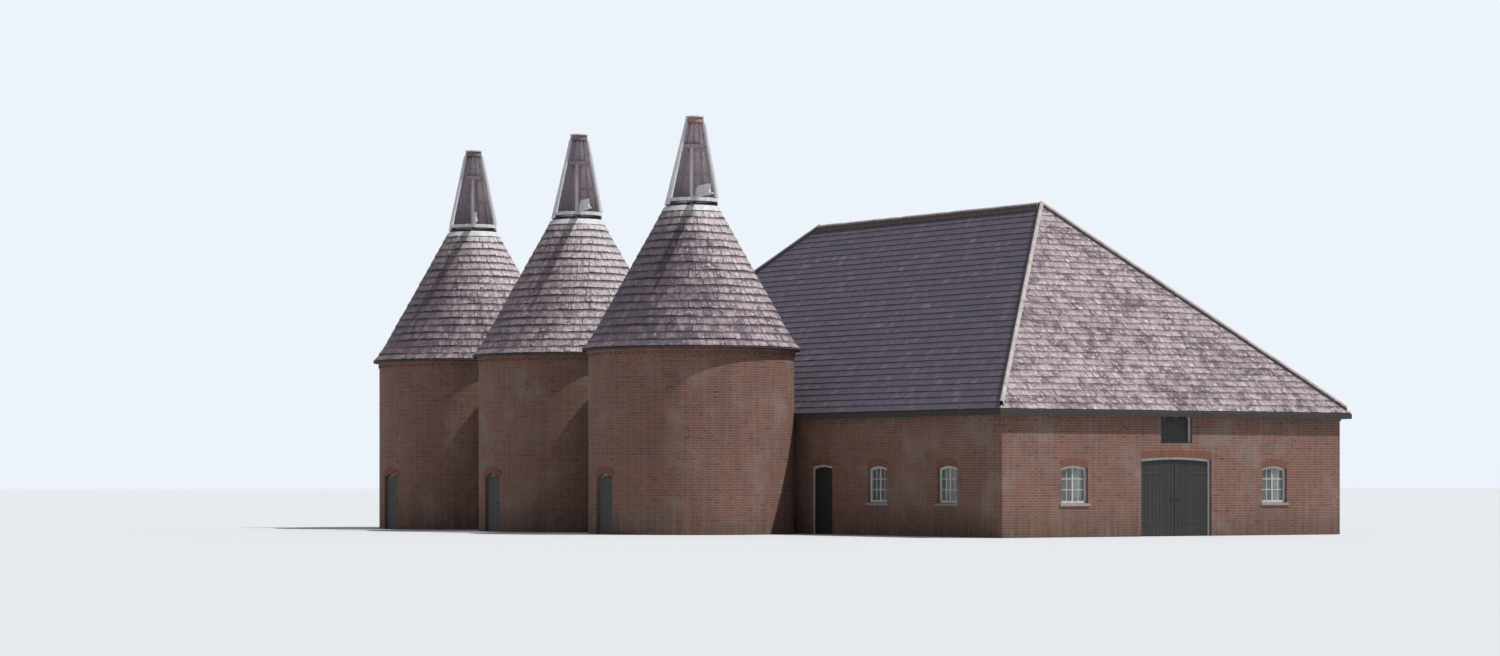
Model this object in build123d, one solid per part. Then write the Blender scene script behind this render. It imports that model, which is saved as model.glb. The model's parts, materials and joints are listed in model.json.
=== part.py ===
from build123d import *
import os
from math import atan2, cos, degrees, radians, sin, sqrt, tan

# An oast house: a hipped stowage with three round hop kilns along its front, each under a conical
# slate roof that ends in a timber cowl which turns with the wind.
# Millimetres, +Z up. The origin is the middle of the stowage floor at ground level, +X runs along
# the ridge and the kilns stand on the -Y side.

# Stowage
STOWAGE_LENGTH = 24280
STOWAGE_DEPTH = 12500
STOWAGE_WALL = 340
STOWAGE_WALL_HEIGHT = 3640
STOWAGE_PITCH = 44
STOWAGE_OVERHANG = 250
ROOF_THICKNESS = 100
GROUND_FLOOR_THICKNESS = 120
UPPER_FLOOR_TOP = 2650
UPPER_FLOOR_BOARDS = 30
FLOOR_BEAM_DEPTH = 230
FLOOR_BEAM_WIDTH = 220
FLOOR_BEAM_COUNT = 5
FLOOR_POST_SIDE = 200
FLOOR_POST_ROWS = 2
CAP_WIDTH = 230
CAP_RISE = 48

# Kilns
KILN_COUNT = 3
KILN_SPACING = 6740
KILN_ROW_OVERSHOOT = 1090
KILN_SET_OUT = 2600
KILN_INNER_RADIUS = 2740
KILN_WALL = 340
KILN_WALL_HEIGHT = 5500
CORBEL_STEP = 30
CORBEL_COURSES = 2
CORBEL_COURSE_HEIGHT = 75
KILN_PITCH = 60.8
KILN_ROOF_THICKNESS = 120
KILN_ROOF_TOP = 9740
KILN_ROOF_TOP_RADIUS = 800
BELL_PITCH = 48
BELL_RADIUS = 3010
KILN_EAVES_RADIUS = 3290
EAVES_TIP = 45
THROAT_RADIUS = 640
KERB_DEPTH = 280
LEAD_THICKNESS = 12
LEAD_APRON = 120
CURB_HEIGHT = 70
CURB_TOP_RADIUS = 745

# Spindle that carries a cowl
SPRATTLE_WIDTH = 160
SPRATTLE_DEPTH = 180
SPRATTLE_DROP = 90
SPINDLE_RADIUS = 60
PIN_RADIUS = 20
PIN_LENGTH = 170

# Cowl: a leaning cone of flat tapered boards, one to each side of a polygon
COWL_GAP = 80
COWL_HEIGHT = 2524
COWL_BASE_RADIUS = 795
COWL_TOP_RADIUS = 258
COWL_LEAN = 400
COWL_BOARD = 22
BOARD_COUNT = 24
OPEN_BOARDS = 9
JAMB_ANGLE = 3
JAMB_DEPTH = 72
COWL_SKIRT = 60
COWL_RING_HEIGHT = 130
COWL_RING_WIDTH = 90
COWL_CAP_OVERHANG = 18
COWL_CAP_THICKNESS = 36
HOOP_HEIGHT = 70
HOOP_WIDTH = 50
HOOP_LEVELS = (870, 1560)
HEAD_HOOP_HEIGHT = 150
RIB_SPACING = 2
RIB_ANGLE = 6.4
RIB_WIDTH = 48
BEARING_LEVEL = 1650
HEAD_BAR_WIDTH = 90
HEAD_BAR_DEPTH = 120
SOCKET_RADIUS = 58
COLLAR_RADIUS = 120
COLLAR_CLEARANCE = 5
SPOKE_WIDTH = 80
SPOKE_HEIGHT = 90
ARM_REACH = 2600
ARM_WIDTH = 70
ARM_ROOT_DEPTH = 120
ARM_TIP_DEPTH = 50
ARM_FALL = 55
PENNON_START = 500
PENNON_SHOULDER = 930
PENNON_END = 2330
PENNON_THICKNESS = 18
PENNON_ROOT_TOP = 455
PENNON_END_TOP = 410
PENNON_NOTCH = 80
COWL_ANGLES = (-18.5, -21, -26)

# Openings and joinery
WINDOW_WIDTH = 950
WINDOW_HEIGHT = 1050
WINDOW_SILL = 950
WINDOW_RISE = 70
BACK_WINDOW_COUNT = 5
END_WINDOW_OFFSET = 3700
FRONT_WINDOW_PITCH = 3400
FRONT_WINDOW_FROM_DOOR = 2850
FRONT_WINDOW_END_CLEARANCE = 1600
FRAME_DEPTH = 90
FRAME_WIDTH = 65
FRAME_SET_BACK = 90
GLASS_THICKNESS = 6
CART_DOOR_WIDTH = 2600
CART_DOOR_HEIGHT = 2250
HATCH_WIDTH = 1150
HATCH_HEIGHT = 900
SIDE_DOOR_WIDTH = 1100
SIDE_DOOR_HEIGHT = 2050
SIDE_DOOR_FROM_KILN = 3100
DOOR_RISE = 60
DOOR_LEAF = 50
DOOR_GAP = 6
KILN_DOOR_WIDTH = 900
KILN_DOOR_HEIGHT = 1800
KILN_DOOR_RISE = 150

# Gap between pieces that seat on a curved face
SEAT_GAP = 0.3

# Worked out from the sizes above
HALF_LENGTH = STOWAGE_LENGTH / 2
HALF_DEPTH = STOWAGE_DEPTH / 2
RIDGE_HALF = HALF_LENGTH - HALF_DEPTH
SLOPE = tan(radians(STOWAGE_PITCH))
ROOF_DROP = ROOF_THICKNESS / cos(radians(STOWAGE_PITCH))
WALL_TOP_SURFACE = STOWAGE_WALL_HEIGHT + ROOF_DROP
INNER_X = HALF_LENGTH - STOWAGE_WALL
INNER_Y = HALF_DEPTH - STOWAGE_WALL
KILN_RADIUS = KILN_INNER_RADIUS + KILN_WALL
KILN_Y = -HALF_DEPTH - KILN_SET_OUT
LAST_KILN_X = -HALF_LENGTH - KILN_ROW_OVERSHOOT
KILN_XS = [LAST_KILN_X + KILN_SPACING * n for n in reversed(range(KILN_COUNT))]
CORBEL_RADIUS = KILN_RADIUS + CORBEL_STEP * CORBEL_COURSES
SIDE_DOOR_X = KILN_XS[0] + SIDE_DOOR_FROM_KILN
FIRST_FRONT_WINDOW_X = SIDE_DOOR_X + FRONT_WINDOW_FROM_DOOR
FRONT_WINDOW_RUN = HALF_LENGTH - FRONT_WINDOW_END_CLEARANCE - FIRST_FRONT_WINDOW_X
FRONT_WINDOW_XS = [
    FIRST_FRONT_WINDOW_X + FRONT_WINDOW_PITCH * n
    for n in range(int(FRONT_WINDOW_RUN // FRONT_WINDOW_PITCH) + 1)
]
CURB_TOP = KILN_ROOF_TOP + CURB_HEIGHT
COWL_BASE = CURB_TOP + COWL_GAP
FRAME_INSET = COWL_BOARD + SEAT_GAP
SPRATTLE_TOP = KILN_ROOF_TOP - SPRATTLE_DROP
BOARD_ANGLE = 360 / BOARD_COUNT
MOUTH_HALF_ANGLE = OPEN_BOARDS * BOARD_ANGLE / 2
APOTHEM = cos(radians(BOARD_ANGLE / 2))


def prism(points, plane, start, length):
    """A solid with a polygon's outline, pushed out along the plane's normal from start."""
    return extrude(plane.offset(start) * make_face(Polyline(*points, close=True)), length)


def ring_of(profile):
    """A full turn about Z of a closed outline given as (radius, height) points."""
    return revolve(Plane.XZ * make_face(Polyline(*profile, close=True)), axis=Axis.Z)


def arched(width, height, rise):
    """A doorway or window outline, foot at the origin, with a segmental head of that rise."""
    spring = height - rise
    sides = Polyline((width / 2, spring), (width / 2, 0), (-width / 2, 0), (-width / 2, spring))
    head = ThreePointArc((-width / 2, spring), (0, height), (width / 2, spring))
    return make_face(sides + head)


def facing(x, y, z, turn):
    """A place on a wall face: local X runs along the wall and local Z points out of it."""
    return Pos(x, y, z) * Rot(0, 0, turn) * Rot(90, 0, 0)


# Turn of each stowage face about Z, so that its outward side is -Y before the turn
FRONT, RIGHT, BACK, LEFT = 0, 90, 180, 270


def on_wall(side, along, z):
    """The place of an opening's foot on the outer face of a stowage wall."""
    if side == FRONT:
        return facing(along, -HALF_DEPTH, z, side)
    if side == BACK:
        return facing(along, HALF_DEPTH, z, side)
    if side == RIGHT:
        return facing(HALF_LENGTH, along, z, side)
    return facing(-HALF_LENGTH, along, z, side)


# Stowage openings

BACK_WINDOW_PITCH = STOWAGE_LENGTH / BACK_WINDOW_COUNT
WINDOWS = (
    [on_wall(FRONT, x, WINDOW_SILL) for x in FRONT_WINDOW_XS]
    + [on_wall(RIGHT, y, WINDOW_SILL) for y in (-END_WINDOW_OFFSET, END_WINDOW_OFFSET)]
    + [on_wall(LEFT, y, WINDOW_SILL) for y in (-END_WINDOW_OFFSET / 2, END_WINDOW_OFFSET)]
    + [
        on_wall(BACK, BACK_WINDOW_PITCH * (n - (BACK_WINDOW_COUNT - 1) / 2), WINDOW_SILL)
        for n in range(BACK_WINDOW_COUNT)
    ]
)
CART_DOOR = on_wall(RIGHT, 0, 0)
HATCH = on_wall(RIGHT, 0, UPPER_FLOOR_TOP)
SIDE_DOOR = on_wall(FRONT, SIDE_DOOR_X, 0)


def through_wall(place, outline):
    """The cut that an outline makes through a stowage wall."""
    return place * Pos(0, 0, -2 * STOWAGE_WALL) * extrude(outline, 4 * STOWAGE_WALL)


def joinery_frame(place, width, height, rise, threshold):
    """A timber frame inside an opening. A doorway's frame has no threshold."""
    outline = arched(width, height, rise)
    light = arched(width - 2 * FRAME_WIDTH, height - FRAME_WIDTH * (2 if threshold else 1), rise)
    lift = FRAME_WIDTH if threshold else 0
    frame = extrude(outline, FRAME_DEPTH) - Pos(0, lift, 0) * extrude(light, FRAME_DEPTH)
    return place * Pos(0, 0, -FRAME_SET_BACK - FRAME_DEPTH) * frame


def leaf(width, height, rise, thickness):
    """A leaf or a pane that fills a frame's light, with a hair of room all round."""
    room = SEAT_GAP
    outline = arched(width - 2 * FRAME_WIDTH - 2 * room, height - FRAME_WIDTH - 2 * room, rise)
    return Pos(0, room, 0) * extrude(outline, thickness)


def set_in(place, solid, thickness):
    """Puts a leaf or a pane in the middle of its frame's depth."""
    return place * Pos(0, 0, -FRAME_SET_BACK - (FRAME_DEPTH + thickness) / 2) * solid


def kiln_solid(x, radius, height):
    """A solid cylinder on a kiln's axis, for cutting what meets the kiln."""
    return Pos(x, KILN_Y, -height) * Cylinder(
        radius, 3 * height, align=(Align.CENTER, Align.CENTER, Align.MIN)
    )


KILN_CUTS = [kiln_solid(x, KILN_RADIUS + SEAT_GAP, KILN_WALL_HEIGHT) for x in KILN_XS]


def without(shape, cuts):
    """The shape less every cut."""
    for cut in cuts:
        shape = shape - cut
    return shape


# Stowage walls

def roof_underside():
    """The space under the hipped roof's lower surface, for trimming the walls."""
    return hipped_solid(0, -ROOF_DROP)


def hipped_solid(edge, lift):
    """A hipped block whose slopes pass over the wall faces at the roof's height plus lift."""
    eaves_x, eaves_y = HALF_LENGTH + edge, HALF_DEPTH + edge
    eaves = WALL_TOP_SURFACE + lift - edge * SLOPE
    ridge = WALL_TOP_SURFACE + lift + HALF_DEPTH * SLOPE
    foot = eaves - ROOF_DROP
    across = prism(
        [(-eaves_y, foot), (-eaves_y, eaves), (0, ridge), (eaves_y, eaves), (eaves_y, foot)],
        Plane.YZ,
        -eaves_x,
        2 * eaves_x,
    )
    along = prism(
        [
            (-eaves_x, foot),
            (-eaves_x, eaves),
            (-RIDGE_HALF, ridge),
            (RIDGE_HALF, ridge),
            (eaves_x, eaves),
            (eaves_x, foot),
        ],
        Plane.XZ,
        -eaves_y,
        2 * eaves_y,
    )
    return across & along


def wall_block(x0, x1, y0, y1):
    """A wall's full block, tall enough to be trimmed to the roof."""
    top = WALL_TOP_SURFACE + 2 * STOWAGE_WALL
    return Pos((x0 + x1) / 2, (y0 + y1) / 2, 0) * Box(
        x1 - x0, y1 - y0, top, align=(Align.CENTER, Align.CENTER, Align.MIN)
    )


def trimmed(block):
    """A wall block with its top bevelled to the underside of the roof."""
    below = Pos(0, 0, -STOWAGE_WALL_HEIGHT) * Box(
        2 * STOWAGE_LENGTH,
        2 * STOWAGE_DEPTH,
        2 * STOWAGE_WALL_HEIGHT - ROOF_DROP,
        align=(Align.CENTER, Align.CENTER, Align.MIN),
    )
    return block & (below + roof_underside())


WINDOW_CUTS = [through_wall(p, arched(WINDOW_WIDTH, WINDOW_HEIGHT, WINDOW_RISE)) for p in WINDOWS]
DOOR_CUTS = [
    through_wall(CART_DOOR, arched(CART_DOOR_WIDTH, CART_DOOR_HEIGHT, DOOR_RISE)),
    through_wall(HATCH, arched(HATCH_WIDTH, HATCH_HEIGHT, DOOR_RISE)),
    through_wall(SIDE_DOOR, arched(SIDE_DOOR_WIDTH, SIDE_DOOR_HEIGHT, DOOR_RISE)),
]


def stowage_walls():
    """The four walls. The long ones run between the end ones."""
    cuts = WINDOW_CUTS + DOOR_CUTS + KILN_CUTS
    return {
        "stowage_front_wall": without(trimmed(wall_block(-INNER_X, INNER_X, -HALF_DEPTH, -INNER_Y)), cuts),
        "stowage_back_wall": without(trimmed(wall_block(-INNER_X, INNER_X, INNER_Y, HALF_DEPTH)), cuts),
        "stowage_left_wall": without(
            trimmed(wall_block(-HALF_LENGTH, -INNER_X, -HALF_DEPTH, HALF_DEPTH)), cuts
        ),
        "stowage_right_wall": without(
            trimmed(wall_block(INNER_X, HALF_LENGTH, -HALF_DEPTH, HALF_DEPTH)), cuts
        ),
    }


# Stowage floors

def stowage_floors():
    """The ground floor slab, the boarded upper floor on its beams, and the posts under them."""
    base = (Align.CENTER, Align.CENTER, Align.MIN)
    ground = Box(2 * INNER_X, 2 * INNER_Y, GROUND_FLOOR_THICKNESS, align=base)
    boards_under = UPPER_FLOOR_TOP - UPPER_FLOOR_BOARDS
    upper = Pos(0, 0, boards_under) * Box(2 * INNER_X, 2 * INNER_Y, UPPER_FLOOR_BOARDS, align=base)
    beams_under = boards_under - FLOOR_BEAM_DEPTH
    posts = []
    for n in range(FLOOR_BEAM_COUNT):
        x = (n - (FLOOR_BEAM_COUNT - 1) / 2) * 2 * INNER_X / FLOOR_BEAM_COUNT
        upper += Pos(x, 0, beams_under) * Box(FLOOR_BEAM_WIDTH, 2 * INNER_Y, FLOOR_BEAM_DEPTH, align=base)
        for row in range(FLOOR_POST_ROWS):
            y = (row - (FLOOR_POST_ROWS - 1) / 2) * 2 * INNER_Y / (FLOOR_POST_ROWS + 1)
            height = beams_under - GROUND_FLOOR_THICKNESS
            posts.append(
                Pos(x, y, GROUND_FLOOR_THICKNESS) * Box(FLOOR_POST_SIDE, FLOOR_POST_SIDE, height, align=base)
            )
    return {
        "ground_floor": without(ground, KILN_CUTS),
        "upper_floor": without(upper, KILN_CUTS),
        "floor_posts": Compound(children=posts),
    }


# Stowage roof

def plan_prism(points):
    """Everything over a polygon on the plan."""
    return prism(points, Plane.XY, 0, 2 * KILN_ROOF_TOP)


def stowage_roof():
    """Four mitred slopes, cut away round the kilns, and the tiles that cap ridge and hips."""
    shell = hipped_solid(STOWAGE_OVERHANG, 0) - hipped_solid(STOWAGE_OVERHANG, -ROOF_DROP)
    x, y, r = HALF_LENGTH + STOWAGE_OVERHANG, HALF_DEPTH + STOWAGE_OVERHANG, RIDGE_HALF
    plans = {
        "roof_front": [(-x, -y), (x, -y), (r, 0), (-r, 0)],
        "roof_right": [(x, -y), (x, y), (r, 0)],
        "roof_back": [(x, y), (-x, y), (-r, 0), (r, 0)],
        "roof_left": [(-x, y), (-x, -y), (-r, 0)],
    }
    nodes = {name: without(shell & plan_prism(plan), KILN_CUTS) for name, plan in plans.items()}
    raised = hipped_solid(STOWAGE_OVERHANG, CAP_RISE) - hipped_solid(STOWAGE_OVERHANG, 0)
    strips = Box(2 * r + CAP_WIDTH, CAP_WIDTH, 4 * KILN_ROOF_TOP)
    hip_run = (HALF_DEPTH + STOWAGE_OVERHANG) * sqrt(2)
    for side_x in (-1, 1):
        for side_y in (-1, 1):
            turn = degrees(atan2(side_y, side_x))
            strip = Box(hip_run, CAP_WIDTH, 4 * KILN_ROOF_TOP, align=(Align.MIN, Align.CENTER, Align.CENTER))
            strips += Pos(side_x * r, 0, 0) * Rot(0, 0, turn) * strip
    nodes["ridge_and_hip_tiles"] = without(raised & strips, KILN_CUTS)
    return nodes


# Kiln walls, roof and curb

def kiln_wall():
    """The round wall with its corbelled top courses."""
    profile = [(KILN_INNER_RADIUS, 0), (KILN_RADIUS, 0)]
    for n in range(CORBEL_COURSES):
        level = KILN_WALL_HEIGHT - (CORBEL_COURSES - n) * CORBEL_COURSE_HEIGHT
        profile += [(KILN_RADIUS + n * CORBEL_STEP, level), (KILN_RADIUS + (n + 1) * CORBEL_STEP, level)]
    profile += [(CORBEL_RADIUS, KILN_WALL_HEIGHT), (KILN_INNER_RADIUS, KILN_WALL_HEIGHT)]
    return ring_of(profile)


def kiln_door_cut():
    """The stoke-hole doorway through the front of a kiln wall."""
    outline = arched(KILN_DOOR_WIDTH, KILN_DOOR_HEIGHT, KILN_DOOR_RISE)
    return facing(0, -KILN_INNER_RADIUS / 2, 0, FRONT) * extrude(outline, 2 * KILN_WALL + KILN_RADIUS)


def kiln_wall_halves():
    """The front half with its doorway, and the back half that the stowage abuts."""
    ring = kiln_wall()
    reach, tall = 2 * CORBEL_RADIUS, KILN_WALL_HEIGHT
    base = (Align.CENTER, Align.MAX, Align.MIN)
    front_block = Box(reach, reach, tall, align=base)
    back_block = Box(reach, reach, tall, align=(Align.CENTER, Align.MIN, Align.MIN))
    return (ring & front_block) - kiln_door_cut(), ring & back_block


def kiln_slope(radius, thickness=0):
    """Height of the cone's surface over a radius, or of its underside at that thickness."""
    rise = tan(radians(KILN_PITCH))
    drop = thickness / cos(radians(KILN_PITCH))
    return KILN_ROOF_TOP - (radius - KILN_ROOF_TOP_RADIUS) * rise - drop


def kiln_roof():
    """The conical shell: a foot on the wall, bell-cast eaves, and a kerb round the throat."""
    rise = tan(radians(KILN_PITCH))
    bell = kiln_slope(BELL_RADIUS)
    eaves = bell - (KILN_EAVES_RADIUS - BELL_RADIUS) * tan(radians(BELL_PITCH))
    underside_foot = KILN_ROOF_TOP_RADIUS + (
        KILN_ROOF_TOP - KILN_ROOF_THICKNESS / cos(radians(KILN_PITCH)) - KILN_WALL_HEIGHT
    ) / rise
    kerb_under = KILN_ROOF_TOP - KERB_DEPTH
    kerb_meets = KILN_ROOF_TOP_RADIUS + (
        KERB_DEPTH - KILN_ROOF_THICKNESS / cos(radians(KILN_PITCH))
    ) / rise
    return ring_of(
        [
            (underside_foot, KILN_WALL_HEIGHT),
            (CORBEL_RADIUS, KILN_WALL_HEIGHT),
            (
                KILN_EAVES_RADIUS - EAVES_TIP * sin(radians(BELL_PITCH)),
                eaves - EAVES_TIP * cos(radians(BELL_PITCH)),
            ),
            (KILN_EAVES_RADIUS, eaves),
            (BELL_RADIUS, bell),
            (KILN_ROOF_TOP_RADIUS, KILN_ROOF_TOP),
            (THROAT_RADIUS, KILN_ROOF_TOP),
            (THROAT_RADIUS, kerb_under),
            (kerb_meets, kerb_under),
        ]
    )


def kiln_curb():
    """The leaded curb: a ring over the kerb with an apron down the top of the slates."""
    run = cos(radians(KILN_PITCH))
    fall = sin(radians(KILN_PITCH))
    foot_radius = KILN_ROOF_TOP_RADIUS + LEAD_APRON * run
    foot_level = KILN_ROOF_TOP - LEAD_APRON * fall
    return ring_of(
        [
            (THROAT_RADIUS, KILN_ROOF_TOP),
            (KILN_ROOF_TOP_RADIUS + SEAT_GAP, KILN_ROOF_TOP),
            (foot_radius + SEAT_GAP, foot_level),
            (foot_radius + LEAD_THICKNESS / fall, foot_level),
            (KILN_ROOF_TOP_RADIUS + LEAD_THICKNESS / fall, KILN_ROOF_TOP),
            (CURB_TOP_RADIUS, CURB_TOP),
            (THROAT_RADIUS, CURB_TOP),
        ]
    )


def spindle():
    """Crossed sprattle beams in the throat, the post on them, and the pin a cowl turns on."""
    base = (Align.CENTER, Align.CENTER, Align.MIN)
    under = SPRATTLE_TOP - SPRATTLE_DEPTH
    beams = Box(2 * THROAT_RADIUS, SPRATTLE_WIDTH, SPRATTLE_DEPTH, align=base)
    beams += Box(SPRATTLE_WIDTH, 2 * THROAT_RADIUS, SPRATTLE_DEPTH, align=base)
    beams = beams & Cylinder(THROAT_RADIUS - SEAT_GAP, SPRATTLE_DEPTH, align=base)
    post_top = COWL_BASE + BEARING_LEVEL
    post = Pos(0, 0, SPRATTLE_TOP) * Cylinder(SPINDLE_RADIUS, post_top - SPRATTLE_TOP, align=base)
    pin = Pos(0, 0, post_top) * Cylinder(PIN_RADIUS, PIN_LENGTH, align=base)
    return Pos(0, 0, under) * beams + post + pin


# Cowl, in its own frame: z is 0 at the foot of its ring and the mouth faces +X

def cowl_radius(z):
    """Outer radius of the boarding, to its corners, at a height."""
    return COWL_BASE_RADIUS + (COWL_TOP_RADIUS - COWL_BASE_RADIUS) * z / COWL_HEIGHT


def cowl_centre(z):
    """How far the boarding's centre leans towards the mouth at a height."""
    return COWL_LEAN * z / COWL_HEIGHT


def around(angles, radius, z):
    """Points at these angles about the cowl's leaning centre line."""
    return [(cowl_centre(z) + radius * cos(radians(a)), radius * sin(radians(a)), z) for a in angles]


def flat_sided(low, high):
    """A solid between two level outlines whose edges run parallel, with flat sides."""
    sides = [Polyline(low[n - 1], low[n], high[n], high[n - 1], close=True) for n in range(len(low))]
    outlines = [*sides, Polyline(*low, close=True), Polyline(*high, close=True)]
    return Solid(Shell([make_face(outline).face() for outline in outlines]))


def boarded_cone(inset, z0, z1):
    """A slice of the cowl's leaning cone, smaller all round by the inset."""
    corners = [BOARD_ANGLE * (n + 0.5) for n in range(BOARD_COUNT)]
    low, high = (around(corners, cowl_radius(z) - inset / APOTHEM, z) for z in (z0, z1))
    return flat_sided(low, high)


def sector(start, end, z0, z1):
    """A wedge about the cowl's leaning centre line, from one angle to another in degrees."""
    steps = max(2, round((end - start) / 60))
    fan = [start + (end - start) * n / steps for n in range(steps + 1)]
    low, high = ([(cowl_centre(z), 0, z), *around(fan, 3 * cowl_radius(z), z)] for z in (z0, z1))
    return flat_sided(low, high)


def hoop(z0, z1, inset, width):
    """A flat hoop that follows the boarding all the way round, inset from its outside."""
    return boarded_cone(inset, z0, z1) - boarded_cone(inset + width, z0, z1)


def closed_side(start=MOUTH_HALF_ANGLE):
    """Everything but the mouth, or but a wider wedge at the same side."""
    return sector(start, 360 - start, -COWL_SKIRT, COWL_HEIGHT)


def cowl_shell():
    """The tapered boarding, open from foot ring to cap, skirted below the ring, with its jambs."""
    boards = hoop(-COWL_SKIRT, COWL_HEIGHT, 0, COWL_BOARD) & closed_side()
    jambs = hoop(COWL_RING_HEIGHT, COWL_HEIGHT - HEAD_HOOP_HEIGHT, 0, JAMB_DEPTH)
    for start in (MOUTH_HALF_ANGLE, 360 - MOUTH_HALF_ANGLE - JAMB_ANGLE):
        boards += jambs & sector(start, start + JAMB_ANGLE, 0, COWL_HEIGHT)
    return boards


def cowl_ring():
    """The foot ring, its four spokes, and the collar that steadies it on the spindle."""
    base = (Align.CENTER, Align.CENTER, Align.MIN)
    whole = hoop(0, COWL_RING_HEIGHT, FRAME_INSET, COWL_RING_WIDTH)
    facing_board = hoop(0, COWL_RING_HEIGHT, 0, COWL_RING_WIDTH)
    ring = whole + (facing_board & sector(-MOUTH_HALF_ANGLE, MOUTH_HALF_ANGLE, 0, COWL_HEIGHT))
    spokes = Box(2 * COWL_BASE_RADIUS, SPOKE_WIDTH, SPOKE_HEIGHT, align=base)
    spokes += Box(SPOKE_WIDTH, 2 * COWL_BASE_RADIUS, SPOKE_HEIGHT, align=base)
    ring += spokes & boarded_cone(FRAME_INSET + COWL_RING_WIDTH / 2, 0, COWL_RING_HEIGHT)
    ring += Cylinder(COLLAR_RADIUS, COWL_RING_HEIGHT, align=base)
    return ring - Cylinder(SPINDLE_RADIUS + COLLAR_CLEARANCE, COWL_RING_HEIGHT, align=base)


def cowl_frame():
    """The ribs on the ring, the hoops that tie them, and the head bar with its socket."""
    base = (Align.CENTER, Align.CENTER, Align.MIN)
    closed = closed_side(MOUTH_HALF_ANGLE + JAMB_ANGLE)
    frame = hoop(COWL_HEIGHT - HEAD_HOOP_HEIGHT, COWL_HEIGHT, FRAME_INSET, HOOP_WIDTH)
    for level in HOOP_LEVELS:
        frame += hoop(level, level + HOOP_HEIGHT, FRAME_INSET, HOOP_WIDTH) & closed
    skin = hoop(COWL_RING_HEIGHT, COWL_HEIGHT, FRAME_INSET, RIB_WIDTH)
    for n in range(0, BOARD_COUNT - OPEN_BOARDS, RIB_SPACING):
        middle = MOUTH_HALF_ANGLE + (n + 0.5) * BOARD_ANGLE
        frame += skin & sector(middle - RIB_ANGLE / 2, middle + RIB_ANGLE / 2, 0, COWL_HEIGHT)
    bar = Pos(0, 0, BEARING_LEVEL) * Box(HEAD_BAR_WIDTH, 2 * COWL_BASE_RADIUS, HEAD_BAR_DEPTH, align=base)
    frame += bar & boarded_cone(FRAME_INSET + RIB_WIDTH / 2, BEARING_LEVEL - HOOP_HEIGHT, COWL_HEIGHT)
    frame += Pos(0, 0, BEARING_LEVEL) * Cylinder(SOCKET_RADIUS, HEAD_BAR_DEPTH, align=base)
    bore = Cylinder(PIN_RADIUS + SEAT_GAP, HEAD_BAR_DEPTH, align=base)
    return frame - Pos(0, 0, BEARING_LEVEL) * bore


def cowl_cap():
    """The flat cap board over the head."""
    base = (Align.CENTER, Align.CENTER, Align.MIN)
    return Pos(COWL_LEAN, 0, COWL_HEIGHT) * Cylinder(
        COWL_TOP_RADIUS + COWL_CAP_OVERHANG, COWL_CAP_THICKNESS, align=base
    )


def cowl_vane():
    """The arm, level over the foot ring and then falling a little, with the pennon board on it."""
    root = SPINDLE_RADIUS + COLLAR_CLEARANCE + SEAT_GAP
    foot = COWL_RING_HEIGHT
    tip = foot - ARM_FALL
    arm = prism(
        [
            (root, foot),
            (COWL_BASE_RADIUS, foot),
            (ARM_REACH, tip),
            (ARM_REACH, tip + ARM_TIP_DEPTH),
            (COWL_BASE_RADIUS, foot + ARM_ROOT_DEPTH),
            (root, foot + ARM_ROOT_DEPTH),
        ],
        Plane.XZ,
        -ARM_WIDTH / 2,
        ARM_WIDTH,
    )
    seat = foot + ARM_TIP_DEPTH
    end = tip + ARM_TIP_DEPTH
    edges = Polyline(
        (PENNON_START, seat),
        (PENNON_END, end),
        (PENNON_END - PENNON_NOTCH, (end + PENNON_END_TOP) / 2),
        (PENNON_END, PENNON_END_TOP),
        (PENNON_SHOULDER, PENNON_ROOT_TOP),
    )
    middle = (PENNON_START + PENNON_SHOULDER) / 2
    crest = Spline(
        (PENNON_SHOULDER, PENNON_ROOT_TOP),
        (middle, PENNON_ROOT_TOP - (PENNON_ROOT_TOP - seat) / 4),
        (PENNON_START, seat),
    )
    board = extrude(Plane.XZ.offset(-PENNON_THICKNESS / 2) * make_face(edges + crest), PENNON_THICKNESS)
    return arm + board


# Joinery

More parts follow.
